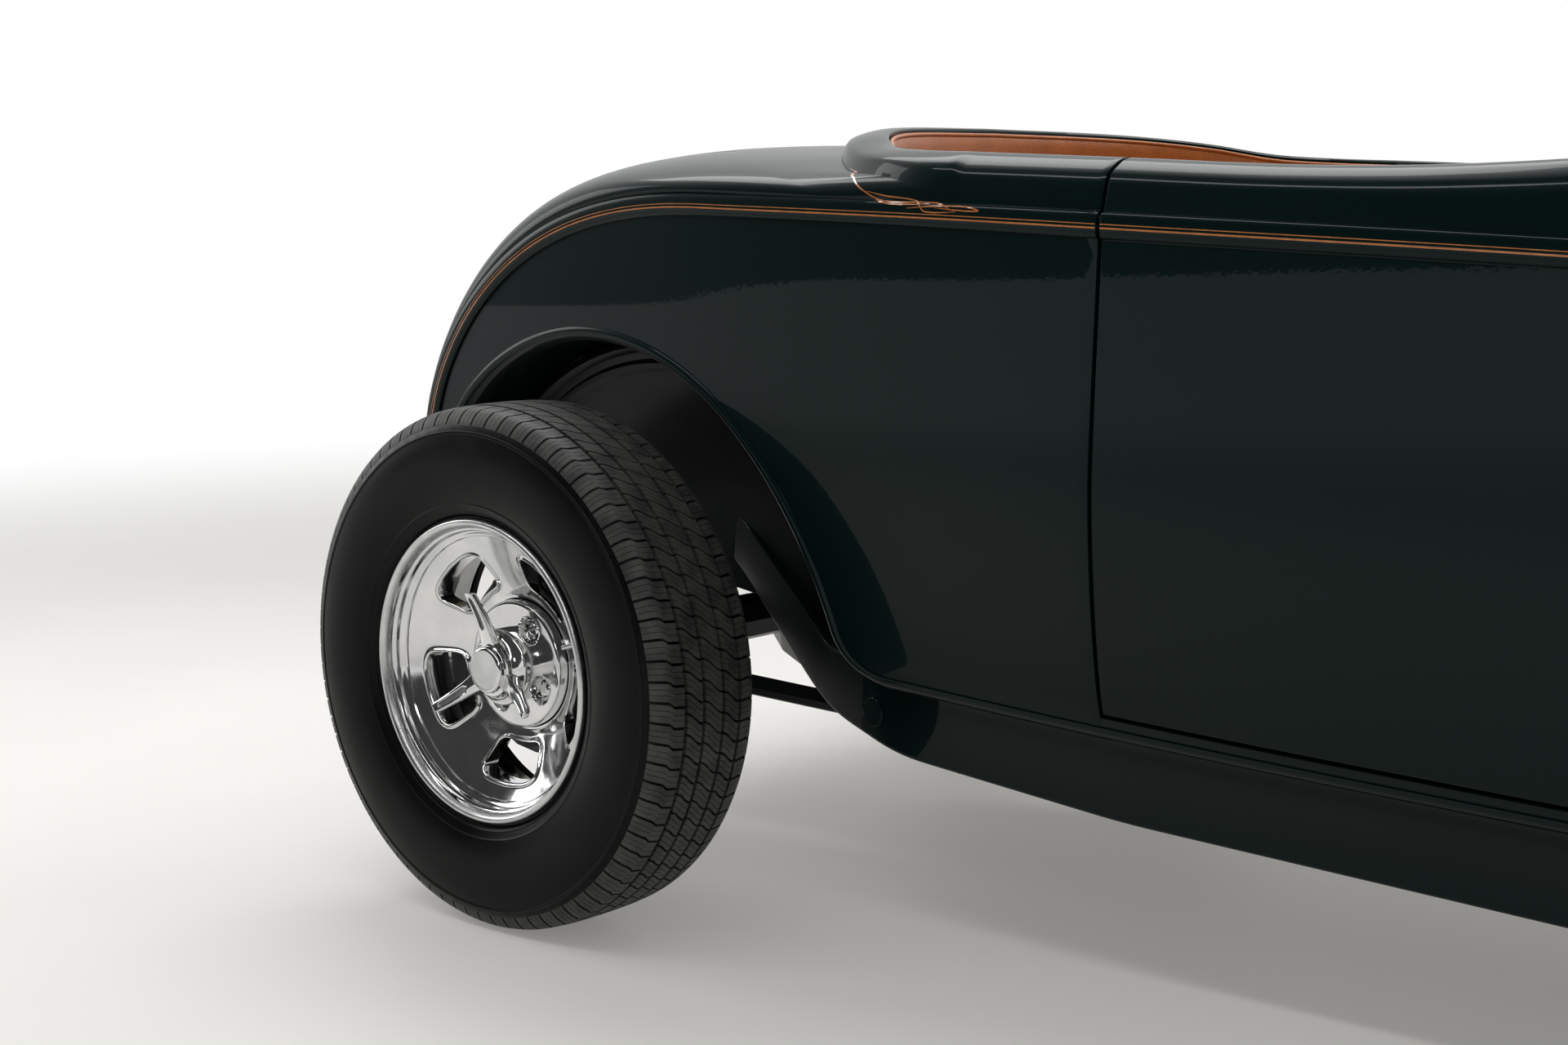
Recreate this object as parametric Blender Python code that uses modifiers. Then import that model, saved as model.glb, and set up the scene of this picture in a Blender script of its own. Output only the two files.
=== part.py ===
"""Street rod roadster: an early-thirties style open two-seater on a bare frame.

Metres, +Z up, nose towards +X, the car's left side towards +Y.
The body, frame and engine are modelled level, in a frame that is tipped nose down
by the rake about the ground point under the rear axle. Axles, wheels and steering
stand level. The world origin is on the ground, midway along the car.
"""
import bpy
import bmesh
from math import pi, sin, cos, tan, radians, copysign
from mathutils import Vector, Matrix
from mathutils.bvhtree import BVHTree

# Driving dimensions of the running gear
wheelBase = 2.845
rakeDeg = 3.0
rearTyreR = 0.386
rearTyreW = 0.216
rearTyreY = 0.712
rearRimR = 0.216
frontTyreR = 0.330
frontTyreW = 0.170
frontTyreY = 0.700
frontRimR = 0.200
fit = 0.0003
shutGap = 0.005

# Body: side view heights and lengths in the tipped frame
sillZ = 0.424
bodyFootZ = 0.420
foldZ = 0.453
beltTopZ = 1.066
beltHalf = 0.0165
beltProud = 0.0065
railZ = 1.146
shutX = 0.904
doorLength = 0.760
cowlLength = 0.330
hoodLength = 0.690
panel = 0.016
doorThick = 0.050
lipIn = 0.068

# Tail sweep of the belt, a quarter of a superellipse
sweepX = 0.2575
sweepBack = 0.7204
sweepFoot = 0.430
sweepPower = 2.4

# Centre line of the rear deck and tail, another one
deckX = 0.202
deckTopZ = 1.151
deckBack = 0.700
deckFoot = 0.450
deckPower = 3.07
crownPower = 2.386
# Crown at the tail, where the skin is drawn to a blunt ridge
crownTail = 1.737
deckFrontX = 0.475

# Cockpit opening: rear edge on the centre line and where its sides run straight
lipBackX = 0.270
lipSideX = 0.670
lipBackZ = 1.181
coamingW = 0.065

# Rear wheel arch
archX = 0.0
archZ = 0.390
archR = 0.472
wellInY = 0.430

# Luggage lid
lidHalfS = 0.60

frontX = shutX + doorLength
firewallX = frontX + cowlLength
shellX = firewallX + hoodLength
shellDepth = 0.100


def smoothTable(table):
    """Return a smooth curve through (x, value) pairs, straight beyond its ends."""
    xs = [row[0] for row in table]
    ys = [row[1] for row in table]
    slopes = []
    for i in range(len(xs)):
        low = max(0, i - 1)
        high = min(len(xs) - 1, i + 1)
        slopes.append((ys[high] - ys[low]) / (xs[high] - xs[low]))

    def value(x):
        if x <= xs[0]:
            return ys[0] + slopes[0] * (x - xs[0])
        if x >= xs[-1]:
            return ys[-1] + slopes[-1] * (x - xs[-1])
        i = max(k for k in range(len(xs) - 1) if xs[k] <= x)
        step = xs[i + 1] - xs[i]
        t = (x - xs[i]) / step
        return ((2 * t ** 3 - 3 * t ** 2 + 1) * ys[i] + (t ** 3 - 2 * t ** 2 + t) * step * slopes[i]
                + (3 * t ** 2 - 2 * t ** 3) * ys[i + 1] + (t ** 3 - t ** 2) * step * slopes[i + 1])
    return value


# Half width of the body at its widest height, by distance ahead of the rear axle
halfWidth = smoothTable((
    (-0.50, 0.548), (-0.25, 0.574), (0.0, 0.596), (0.30, 0.618), (0.60, 0.629), (shutX, 0.633),
    (1.25, 0.618), (frontX, 0.578), (firewallX, 0.500), (firewallX + 0.5 * hoodLength, 0.405),
    (shellX, 0.312)))
# How far the skin lies inside that width, by height
tuckIn = smoothTable((
    (sillZ, 0.070), (foldZ, 0.054), (0.51, 0.038), (0.59, 0.022), (0.67, 0.010), (0.75, 0.002),
    (0.85, 0.0), (0.95, 0.0), (1.20, 0.0)))
# Height of the belt's middle, by distance ahead of the rear axle
beltHeight = smoothTable((
    (sweepX, beltTopZ - 0.002), (0.60, beltTopZ), (shutX, beltTopZ - 0.001), (1.45, beltTopZ - 0.006),
    (firewallX, beltTopZ - 0.018), (shellX, beltTopZ - 0.045)))
# Top of the cockpit side, by distance ahead of the rear axle
railHeight = smoothTable((
    (lipSideX, railZ + 0.001), (shutX, railZ - 0.001), (1.10, railZ - 0.0035), (1.25, railZ - 0.001),
    (1.375, railZ + 0.006), (1.50, railZ + 0.016), (frontX, railZ + 0.026)))
# Lower edge of the hood sides
hoodFoot = smoothTable(((firewallX, 0.455), (firewallX + 0.5 * hoodLength, 0.490), (shellX, 0.560)))


def spow(value, power):
    return copysign(abs(value) ** power, value)


def clearScene():
    for old in list(bpy.data.objects):
        bpy.data.objects.remove(old, do_unlink=True)


clearScene()
carParts = bpy.data.collections.new("streetRodRoadster")
bpy.context.scene.collection.children.link(carParts)
cutterParts = bpy.data.collections.new("cutters")
bpy.context.scene.collection.children.link(cutterParts)


def material(name, colour, roughness, metallic):
    made = bpy.data.materials.new(name)
    made.use_nodes = True
    shader = made.node_tree.nodes["Principled BSDF"]
    shader.inputs["Base Color"].default_value = (*colour, 1.0)
    shader.inputs["Roughness"].default_value = roughness
    shader.inputs["Metallic"].default_value = metallic
    return made


# Colours by finish: red, green, blue, roughness, metallic
finishes = {
    "paint": (0.005, 0.030, 0.026, 0.10, 0.0),
    "leather": (0.42, 0.16, 0.03, 0.55, 0.0),
    "polished": (0.80, 0.80, 0.80, 0.15, 1.0),
    "chrome": (0.75, 0.75, 0.75, 0.08, 1.0),
    "rubber": (0.012, 0.012, 0.012, 0.75, 0.0),
    "blackSteel": (0.015, 0.015, 0.015, 0.35, 0.0),
    "castIron": (0.10, 0.10, 0.10, 0.60, 0.6),
    "glass": (0.80, 0.88, 0.86, 0.05, 0.0),
    "redLens": (0.45, 0.01, 0.01, 0.15, 0.0),
}


def emptyAt(name, location, parent=None):
    made = bpy.data.objects.new(name, None)
    carParts.objects.link(made)
    made.parent = parent
    made.location = location
    return made


rake = radians(rakeDeg)
tailReach = (deckBack - deckX) * cos(rake) - deckFoot * sin(rake)
midX = 0.5 * (wheelBase + frontTyreR - tailReach)
car = emptyAt("roadster", (-midX, 0, 0))
tipped = emptyAt("tippedFrame", (0, 0, 0), car)
tipped.rotation_euler = (0, rake, 0)


def finishObject(made, finish, parent, location=(0, 0, 0)):
    red, green, blue, roughness, metallic = finishes[finish]
    made.data.materials.clear()
    made.data.materials.append(material(made.name + "Finish", (red, green, blue), roughness, metallic))
    made.parent = parent
    made.location = location
    if made.name not in carParts.objects:
        carParts.objects.link(made)
    for other in list(made.users_collection):
        if other is not carParts:
            other.objects.unlink(made)
    return made


def meshObject(name, bm, finish, parent, location=(0, 0, 0), smooth=True):
    mesh = bpy.data.meshes.new(name)
    bm.normal_update()
    bm.to_mesh(mesh)
    bm.free()
    if smooth:
        mesh.shade_smooth()
        mesh.set_sharp_from_angle(angle=radians(35))
    return finishObject(bpy.data.objects.new(name, mesh), finish, parent, location)


def addGrid(bm, rows):
    """Add a sheet of quads through rows of points, and leave out those with no area."""
    verts = [[bm.verts.new(point) for point in row] for row in rows]
    for low, high in zip(verts, verts[1:]):
        for i in range(len(low) - 1):
            corners = (low[i], low[i + 1], high[i + 1], high[i])
            spots = {tuple(round(c, 6) for c in v.co) for v in corners}
            if len(spots) > 2:
                bm.faces.new(corners)


def weld(bm):
    bmesh.ops.remove_doubles(bm, verts=bm.verts[:], dist=0.00002)
    loose = [v for v in bm.verts if not v.link_faces]
    bmesh.ops.delete(bm, geom=loose, context="VERTS")


def closedLoft(name, loops, finish, parent, location=(0, 0, 0), smooth=True):
    """Skin a row of closed loops that have the same number of points, with flat ends."""
    bm = bmesh.new()
    rings = [[bm.verts.new(point) for point in loop] for loop in loops]
    count = len(rings[0])
    for low, high in zip(rings, rings[1:]):
        for i in range(count):
            j = (i + 1) % count
            bm.faces.new((low[i], low[j], high[j], high[i]))
    bm.faces.new(rings[0][::-1])
    bm.faces.new(rings[-1])
    bmesh.ops.recalc_face_normals(bm, faces=bm.faces[:])
    return meshObject(name, bm, finish, parent, location, smooth)


def addModifier(target, kind, **settings):
    made = target.modifiers.new(kind.title(), kind)
    for key, value in settings.items():
        setattr(made, key, value)
    return made


def mirrorAcross(target):
    made = addModifier(target, "MIRROR", merge_threshold=0.0001, use_clip=True)
    made.use_axis = (False, True, False)


def thicken(target, depth):
    addModifier(target, "SOLIDIFY", thickness=depth, offset=-1.0, use_even_offset=True)


def block(name, low, high, finish, parent, bevel=0.0, location=(0, 0, 0), smooth=True):
    bm = bmesh.new()
    bmesh.ops.create_cube(bm, size=1.0)
    size = Vector(high) - Vector(low)
    middle = (Vector(high) + Vector(low)) / 2
    bmesh.ops.scale(bm, vec=size, verts=bm.verts[:])
    bmesh.ops.translate(bm, vec=middle, verts=bm.verts[:])
    made = meshObject(name, bm, finish, parent, location, smooth)
    if bevel:
        addModifier(made, "BEVEL", width=bevel, segments=1)
    return made


def tube(name, points, radius, finish, parent, sides=2, cyclic=False, location=(0, 0, 0)):
    data = bpy.data.curves.new(name, "CURVE")
    data.dimensions = "3D"
    data.bevel_depth = radius
    data.bevel_resolution = sides
    data.use_fill_caps = True
    line = data.splines.new("POLY")
    line.points.add(len(points) - 1)
    for spot, point in zip(line.points, points):
        spot.co = (*point, 1.0)
    line.use_cyclic_u = cyclic
    return finishObject(bpy.data.objects.new(name, data), finish, parent, location)


def plate(name, outlines, thick, finish, parent, location=(0, 0, 0)):
    """A flat outline in its own XY plane; the outlines after the first are holes."""
    data = bpy.data.curves.new(name, "CURVE")
    data.dimensions = "2D"
    data.fill_mode = "BOTH"
    data.extrude = thick / 2
    for outline in outlines:
        line = data.splines.new("POLY")
        line.points.add(len(outline) - 1)
        for spot, point in zip(line.points, outline):
            spot.co = (point[0], point[1], 0.0, 1.0)
        line.use_cyclic_u = True
    return finishObject(bpy.data.objects.new(name, data), finish, parent, location)


def turned(name, profile, steps, finish, parent, location=(0, 0, 0)):
    """Turn (radius, height) points about the object's Z axis; closed or ending on the axis."""
    bm = bmesh.new()
    verts = [bm.verts.new((r, 0.0, h)) for r, h in profile]
    for low, high in zip(verts, verts[1:]):
        bm.edges.new((low, high))
    if profile[0][0] > 0:
        bm.edges.new((verts[-1], verts[0]))
    made = meshObject(name, bm, finish, parent, location)
    addModifier(made, "SCREW", steps=steps, render_steps=steps, use_merge_vertices=True,
                merge_threshold=0.0001, use_smooth_shade=True)
    return made


def frozen(target):
    """Replace an object's data by its evaluated mesh, with loose caps welded."""
    bpy.context.view_layer.update()
    graph = bpy.context.evaluated_depsgraph_get()
    mesh = bpy.data.meshes.new_from_object(target.evaluated_get(graph))
    bm = bmesh.new()
    bm.from_mesh(mesh)
    bmesh.ops.remove_doubles(bm, verts=bm.verts[:], dist=0.00001)
    bmesh.ops.recalc_face_normals(bm, faces=bm.faces[:])
    bm.to_mesh(mesh)
    bm.free()
    name = target.name
    finishMaterial = target.data.materials[0]
    made = bpy.data.objects.new(name + "Solid", mesh)
    carParts.objects.link(made)
    made.parent = target.parent
    made.matrix_local = target.matrix_local
    bpy.data.objects.remove(target, do_unlink=True)
    made.name = name
    mesh.materials.clear()
    mesh.materials.append(finishMaterial)
    return made


def hitOn(target, start, direction):
    """Where a line from start first meets a finished piece, and the face normal there."""
    bpy.context.view_layer.update()
    graph = bpy.context.evaluated_depsgraph_get()
    tree = BVHTree.FromObject(target, graph)
    spot, normal, index, distance = tree.ray_cast(Vector(start), Vector(direction).normalized())
    return spot, normal


def combine(target, others, operation="UNION"):
    """Join or cut the target with each of the others, and take the others away."""
    for other in others:
        if not isinstance(other.data, bpy.types.Mesh):
            other = frozen(other)
        change = addModifier(target, "BOOLEAN", operation=operation, solver="EXACT")
        change.object = other
        target = frozen(target)
        bpy.data.objects.remove(other, do_unlink=True)
    return target


# Side view of the belt

def beltCurve(u):
    """Middle of the belt: u >= 0 is metres ahead of the sweep, u < 0 its share of the sweep."""
    if u >= 0:
        return Vector((sweepX + u, beltHeight(sweepX + u)))
    turn = -u * pi / 2
    rise = beltHeight(sweepX) - sweepFoot
    return Vector((sweepX - sweepBack * spow(sin(turn), 2 / sweepPower),
                   sweepFoot + rise * spow(cos(turn), 2 / sweepPower)))


def beltNormal(u):
    """Unit vector square to the belt in side view, away from the wheel arch."""
    step = 0.01
    low = beltCurve(max(-1.0, u - step))
    high = beltCurve(u + step)
    along = (high - low).normalized()
    return Vector((-along.y, along.x))


def skinY(x, z):
    return halfWidth(x) - tuckIn(z)


# Belt moulding: shift across the belt from its middle, and how far it stands proud
beltRows = ((-beltHalf, 0.0), (-0.7 * beltHalf, beltProud), (0.7 * beltHalf, beltProud), (beltHalf, 0.0))
# Coaming roll: distance outside the lip as a share of its width, and drop as a share of its height
rollRows = ((1.0, 1.0), (0.92, 0.48), (0.83, 0.29), (0.65, 0.16), (0.46, 0.05), (0.23, 0.0), (0.0, 0.05))


def beltPoints(u):
    spots = []
    for across, proud in beltRows:
        spot = beltCurve(u) + across * beltNormal(u)
        spots.append(Vector((spot.x, skinY(spot.x, spot.y) + proud, spot.y)))
    return spots


deckU = deckFrontX - sweepX


def deckShare(u):
    return (deckU - u) / (deckU + 1.0)


def deckCentre(u):
    turn = deckShare(u) * pi / 2
    return Vector((deckX - deckBack * spow(sin(turn), 2 / deckPower),
                   deckFoot + (deckTopZ - deckFoot) * spow(cos(turn), 2 / deckPower)))


def deckPoint(u, s):
    """Deck and tail skin: s runs from the belt's upper edge, 0, to the centre line, 1."""
    edge = beltPoints(u)[-1]
    centre = deckCentre(u)
    crown = crownPower - max(0.0, -u) * (crownPower - crownTail)
    inward = sin(s * pi / 2) ** (2 / crown) if s > 0 else 0.0
    outward = max(0.0, cos(s * pi / 2)) ** (2 / crown) if s < 1 else 0.0
    return Vector((edge.x + (centre.x - edge.x) * inward,
                   edge.y * outward,
                   edge.z + (centre.y - edge.z) * inward))


def lipPoint(s):
    """Inner edge of the rear coaming: s = 0 where the sides run straight, 1 on the centre line."""
    turn = s * pi / 2
    side = halfWidth(lipSideX) - lipIn
    return Vector((lipSideX - (lipSideX - lipBackX) * sin(turn), side * max(0.0, cos(turn)),
                   lipHeight(s)))


lipHeight = smoothTable(((0.0, railZ + 0.001), (0.15, 1.1475), (0.30, 1.1515), (0.45, 1.166), (0.60, 1.175),
                         (0.75, 1.179), (1.0, lipBackZ)))


def coamingColumn(lip, top, valley, outward):
    """Points from the valley over the roll to the lip, and down its inner face."""
    column = []
    for share, drop in rollRows:
        spot = lip + outward * (coamingW * share)
        column.append(Vector((spot.x, spot.y, top - (top - valley) * drop)))
    last = column[-1]
    column.append(Vector((last.x, last.y, last.z - 0.030)))
    return column


# Quarter panel

upRows = (0.0, 0.12, 0.28, 0.46, 0.66, 0.86, 1.0)
sideXs = [shutX - shutGap / 2 + k / 4 * (deckFrontX + 0.06 - shutX + shutGap / 2) for k in range(5)]
archSteps = 14
# How far behind its centre the arch runs straight down
archDrop = 0.412


def quarterColumn(u, foot, flange, first):
    """One upright line of the side panel, from its inward flange up to the belt."""
    low = Vector(foot)
    start = Vector(first)
    top = beltPoints(u)[0]
    column = [Vector(point) for point in flange]
    column.append(Vector((low.x, skinY(low.x, low.y), low.y)))
    for share in upRows[:-1]:
        spot = start.lerp(Vector((top.x, top.z)), share)
        column.append(Vector((spot.x, skinY(spot.x, spot.y), spot.y)))
    return column + beltPoints(u)


def archRadius(angle):
    """The arch is round, and runs straight down behind the wheel."""
    return min(archR, archDrop / abs(cos(angle))) if cos(angle) < 0 else archR


def quarterColumns():
    columns = []
    for x in sideXs:
        y = skinY(x, sillZ)
        flange = ((x, wellInY + 0.03, sillZ - 0.004), (x, y - 0.03, sillZ - 0.004))
        columns.append((x - sweepX, quarterColumn(x - sweepX, (x, sillZ), flange, (x, foldZ))))
    for k in range(archSteps + 1):
        angle = radians(6.0 + 166.0 * k / archSteps)
        share = k / archSteps
        split = 0.35
        u = deckU * (1 - share / split) if share < split else -(share - split) / (1 - split)
        spoke = Vector((cos(angle), sin(angle)))
        radius = archRadius(angle)
        foot = Vector((archX, archZ)) + radius * spoke
        first = Vector((archX, archZ)) + (radius + 0.024) * spoke
        inner = Vector((archX, archZ)) + (radius - 0.006) * spoke
        y = skinY(foot.x, foot.y)
        flange = ((inner.x, wellInY, inner.y), (inner.x, y - 0.014, inner.y))
        columns.append((u, quarterColumn(u, foot, flange, first)))
    return columns


deckRows = [0.0, 0.07, 0.16, 0.28, 0.43, lidHalfS, 0.75, 0.88, 1.0]
def pointOut(bm, inside):
    """Turn every face of an open sheet the same way, away from a point inside it."""
    bmesh.ops.recalc_face_normals(bm, faces=bm.faces[:])
    bm.normal_update()
    lean = sum(f.normal.dot(f.calc_center_median() - Vector(inside)) * f.calc_area() for f in bm.faces)
    if lean < 0:
        bmesh.ops.reverse_faces(bm, faces=bm.faces[:])


quarter = quarterColumns()
deckUs = [u for u, column in quarter if u <= deckU + 0.000001]
deckGrid = [[deckPoint(u, s) for s in deckRows] for u in deckUs]


def lidSpan():
    """Row and column numbers of the deck grid at the lid's edges."""
    return deckRows.index(lidHalfS), 2, len(deckUs) - 4


def makeRearBody():
    lidRow, lidFirst, lidLast = lidSpan()
    bm = bmesh.new()
    addGrid(bm, [column for u, column in quarter])
    addGrid(bm, [row[:lidRow + 1] for row in deckGrid])
    addGrid(bm, [row[lidRow:] for row in deckGrid[:lidFirst + 1]])
    addGrid(bm, [row[lidRow:] for row in deckGrid[lidLast:]])
    # Coaming: along the deck's front edge from the centre line, then along the cockpit side
    strip = []
    straight = halfWidth(lipSideX) - lipIn
    for s, base in zip(reversed(deckRows), reversed(deckGrid[0])):
        lip = lipPoint(s)
        outward = Vector((-sin(s * pi / 2) / (lipSideX - lipBackX), cos(s * pi / 2) / straight, 0))
        valley = min(lip.z - 0.034, base.z + 0.012 - 0.020 * s)
        strip.append([base] + coamingColumn(lip, lip.z, valley, outward.normalized()))
    for x, (u, column) in reversed(list(zip(sideXs, quarter))):
        base = column[-1]
        lipX = sideXs[0] - (sideXs[0] - x) * (sideXs[0] - lipSideX) / (sideXs[0] - deckFrontX)
        lip = Vector((lipX, halfWidth(lipX) - lipIn, 0))
        strip.append([base] + coamingColumn(lip, railHeight(lipX), base.z + 0.001, Vector((0, 1, 0))))
    addGrid(bm, strip)
    weld(bm)
    pointOut(bm, (0.0, 0.1, 0.8))
    bmesh.ops.triangulate(bm, faces=bm.faces[:])    # so that the lamps find the facets they stand on
    made = meshObject("rear_body", bm, "paint", tipped)
    mirrorAcross(made)
    thicken(made, panel)
    return made


lidHingeS = 0.70
lidHingeDrop = 0.011
strapHalf = 0.020
strapThick = 0.004
strapGap = 0.0008


def makeDeckLid():
    """The lid is the same skin as the deck, drawn in by the shut gap all round."""
    lidRow, lidFirst, lidLast = lidSpan()
    uLow, uHigh = deckUs[lidFirst], deckUs[lidLast]
    sEdge = deckRows[lidRow]
    stepU = shutGap / (deckPoint(uLow, 0.9) - deckPoint(uLow - 0.001, 0.9)).length * 0.001
    stepUEnd = shutGap / (deckPoint(uHigh, 0.9) - deckPoint(uHigh + 0.001, 0.9)).length * 0.001
    us = [uLow - stepU] + deckUs[lidFirst + 1:lidLast] + [uHigh + stepUEnd]
    rows = []
    for u in us:
        stepS = shutGap / (deckPoint(u, sEdge) - deckPoint(u, sEdge + 0.001)).length * 0.001
        rows.append([deckPoint(u, s) for s in [sEdge + stepS] + deckRows[lidRow + 1:]])
    bm = bmesh.new()
    addGrid(bm, rows)
    pointOut(bm, (0.0, 0.1, 0.8))
    made = meshObject("deck_lid", bm, "paint", tipped)
    mirrorAcross(made)
    thicken(made, panel)
    lid = frozen(made)
    # Hinge straps fill the front shut gap below the skin
    straps = []
    for side in (1, -1):
        inLid = deckPoint(us[0], lidHingeS)
        inLid.y *= side
        low = inLid - Vector((0.008, 0, lidHingeDrop))
        reach = min(hitOn(rearBody, low + Vector((0, across, up)), (1, 0, 0))[0].x
                    for across in (-strapHalf, 0, strapHalf) for up in (-strapThick / 2, strapThick / 2))
        strap = block("strap", (low.x, low.y - strapHalf, low.z - strapThick / 2),
                      (reach - strapGap, low.y + strapHalf, low.z + strapThick / 2), "paint", tipped)
        straps.append(frozen(strap))
    return combine(lid, straps)


# Doors and cowl: closed sections lofted along the body

def sideLoop(x, thick):
    """Closed section of a side: outer skin from the foot up over the rail, and back down inside."""
    loop = []
    for z in (foldZ + shutGap, 0.51, 0.62, 0.75, 0.90, 1.00):
        loop.append(Vector((x, skinY(x, z), z)))
    loop += beltPoints(x - sweepX)
    y = halfWidth(x)
    height = railHeight(x)
    low = loop[-1].z + 0.001
    for share, drop in rollRows[1:]:
        loop.append(Vector((x, y - lipIn + coamingW * share, height - (height - low) * drop)))
    inner = y - lipIn - 0.001
    loop.append(Vector((x, inner, height - 0.030)))
    loop.append(Vector((x, y - thick, height - 0.060)))
    for z in (0.90, 0.75, 0.62, 0.51, loop[0].z):
        loop.append(Vector((x, skinY(x, z) - thick, z)))
    return loop


def flipped(loop, side):
    return [Vector((p.x, p.y * side, p.z)) for p in loop]


runGap = 0.0005
hingeZs = (0.600, 0.960)
hingeTall = 0.060
hingeInset = 0.010
hingeWide = 0.030


def makeDoor(name, side):
    xs = [shutX + shutGap / 2 + k / 6 * (doorLength - shutGap) for k in range(7)]
    loops = [flipped(sideLoop(x, doorThick), side) for x in xs]
    door = frozen(closedLoft(name, loops, "paint", tipped))
    # Hinge knuckles fill the rear shut gap just inside the skin
    knuckles = []
    for z in hingeZs:
        deep = skinY(shutX, z) - hingeInset
        low = (shutX - shutGap / 2 + runGap, min(side * deep, side * (deep - hingeWide)), z - hingeTall / 2)
        high = (shutX + shutGap, max(side * deep, side * (deep - hingeWide)), z + hingeTall / 2)
        knuckles.append(frozen(block("knuckle", low, high, "paint", tipped)))
    return combine(door, knuckles)


def cowlLoop(x, inner):
    """Half section of the cowl from foot to centre line, at the skin or inside it."""
    points = [Vector((x, skinY(x, z), z)) for z in (bodyFootZ, 0.51, 0.62, 0.75, 0.90, 1.00)]
    points += beltPoints(x - sweepX)
    base = points[-1]
    top = cowlTop(x)
    for k in range(1, 9):
        turn = k / 8 * pi / 2
        points.append(Vector((x, base.y * max(0.0, cos(turn)) ** (2 / 2.5),
                              base.z + (top - base.z) * sin(turn) ** (2 / 2.5))))
    if not inner:
        return points
    middle = Vector((x, 0, 0.70))
    moved = []
    for i, p in enumerate(points):
        before = points[max(0, i - 1)]
        after = points[min(len(points) - 1, i + 1)]
        along = (after - before).normalized()
        inward = Vector((0, -along.z, along.y))
        spot = p + inward * cowlThick
        moved.append(Vector((x, max(0.0, spot.y), spot.z)))
    moved[0].z = points[0].z
    return moved


cowlThick = 0.022
cowlTop = smoothTable(((frontX, railZ + 0.034), (firewallX, 1.142), (firewallX + 0.5 * hoodLength, 1.125),
                       (shellX, 1.092)))


def makeCowl():
    loops = []
    for k in range(4):
        x = frontX + shutGap / 2 + k / 3 * (cowlLength - shutGap / 2)
        outer = cowlLoop(x, False)
        inner = cowlLoop(x, True)
        ring = outer + [Vector((p.x, -p.y, p.z)) for p in reversed(outer[:-1])]
        back = inner + [Vector((p.x, -p.y, p.z)) for p in reversed(inner[:-1])]
        loops.append(ring + back[::-1])
    return closedLoft("cowl", loops, "paint", tipped)


firewallThick = 0.012


def makeFirewall():
    """A plate that closes the cowl's front end, drawn in from its inner skin by the fit."""
    half = cowlLoop(firewallX, True)
    outline = [(p.y * 0.994, 0.75 + (p.z - 0.75) * 0.997) for p in half]
    outline += [(-y, z) for y, z in reversed(outline[:-1])]
    loops = [[Vector((firewallX - firewallThick + shift, y, z)) for y, z in outline]
             for shift in (0.0, firewallThick)]
    return closedLoft("firewall", loops, "paint", tipped, smooth=False)


# Frame rails, which the hood sides and the engine rest on
railThick = 0.045
# Rail side view and plan: x, bottom z, top z, outer half width
railRows = ((-0.43, 0.552, 0.617, 0.405), (-0.30, 0.560, 0.626, 0.410), (0.12, 0.540, 0.618, 0.425),
            (0.36, 0.345, 0.440, 0.470), (0.52, 0.312, 0.4195, 0.505), (0.90, 0.300, 0.4195, 0.515),
            (frontX - 0.004, 0.300, 0.4195, 0.480), (firewallX + 0.056, 0.318, 0.4195, 0.425),
            (firewallX + 0.356, 0.380, 0.470, 0.375), (shellX - 0.004, 0.470, 0.535, 0.335),
            (shellX + 0.246, 0.480, 0.530, 0.320))


def railTopAt(x):
    for (x0, low0, high0, wide0), (x1, low1, high1, wide1) in zip(railRows, railRows[1:]):
        if x0 <= x <= x1:
            return high0 + (high1 - high0) * (x - x0) / (x1 - x0)


# Hood

def hoodTop(x):
    """The hood's centre line is straight, because its two halves hinge along it."""
    share = (x - firewallX) / hoodLength
    return cowlTop(firewallX) + share * (cowlTop(shellX) - cowlTop(firewallX))


def hoodPoint(x, share):
    """Hood top skin: share runs from the belt's upper edge, 0, to the centre line, 1."""
    base = beltPoints(x - sweepX)[-1]
    turn = share * pi / 2
    outward = max(0.0, cos(turn)) ** (2 / 2.5) if share < 1 else 0.0
    inward = sin(turn) ** (2 / 2.5) if share > 0 else 0.0
    return Vector((x, base.y * outward, base.z + hoodSeam + (hoodTop(x) - base.z - hoodSeam) * inward))


hoodThick = 0.008
hoodSeam = 0.003


def makeHoodTop(name, side):
    xs = [firewallX + shutGap + k / 4 * (hoodLength - 2 * shutGap) for k in range(5)]
    rows = []
    for x in xs:
        row = [hoodPoint(x, share / 6) for share in range(7)]
        row[-1].y = shutGap / 2
        rows.append([Vector((p.x, p.y * side, p.z)) for p in row])
    bm = bmesh.new()
    addGrid(bm, rows)
    pointOut(bm, (firewallX + 0.3, 0.1 * side, 0.6))
    made = meshObject(name, bm, "paint", tipped)
    thicken(made, hoodThick)
    return made


hoodRodR = shutGap / 2 - runGap
padXs = (firewallX + 0.206, shellX - 0.164)
padHalf = 0.008


def makeHoodHinge():
    """The rod between the two hood tops, held by the cowl and the grille shell."""
    ends = []
    for x, z in ((firewallX + runGap, hoodTop(firewallX)), (shellX + shutGap - runGap, hoodTop(shellX))):
        ends.append((x, 0, z - hoodThick / 2))
    return tube("hood_hinge", ends, hoodRodR, "chrome", tipped, 2)


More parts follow.
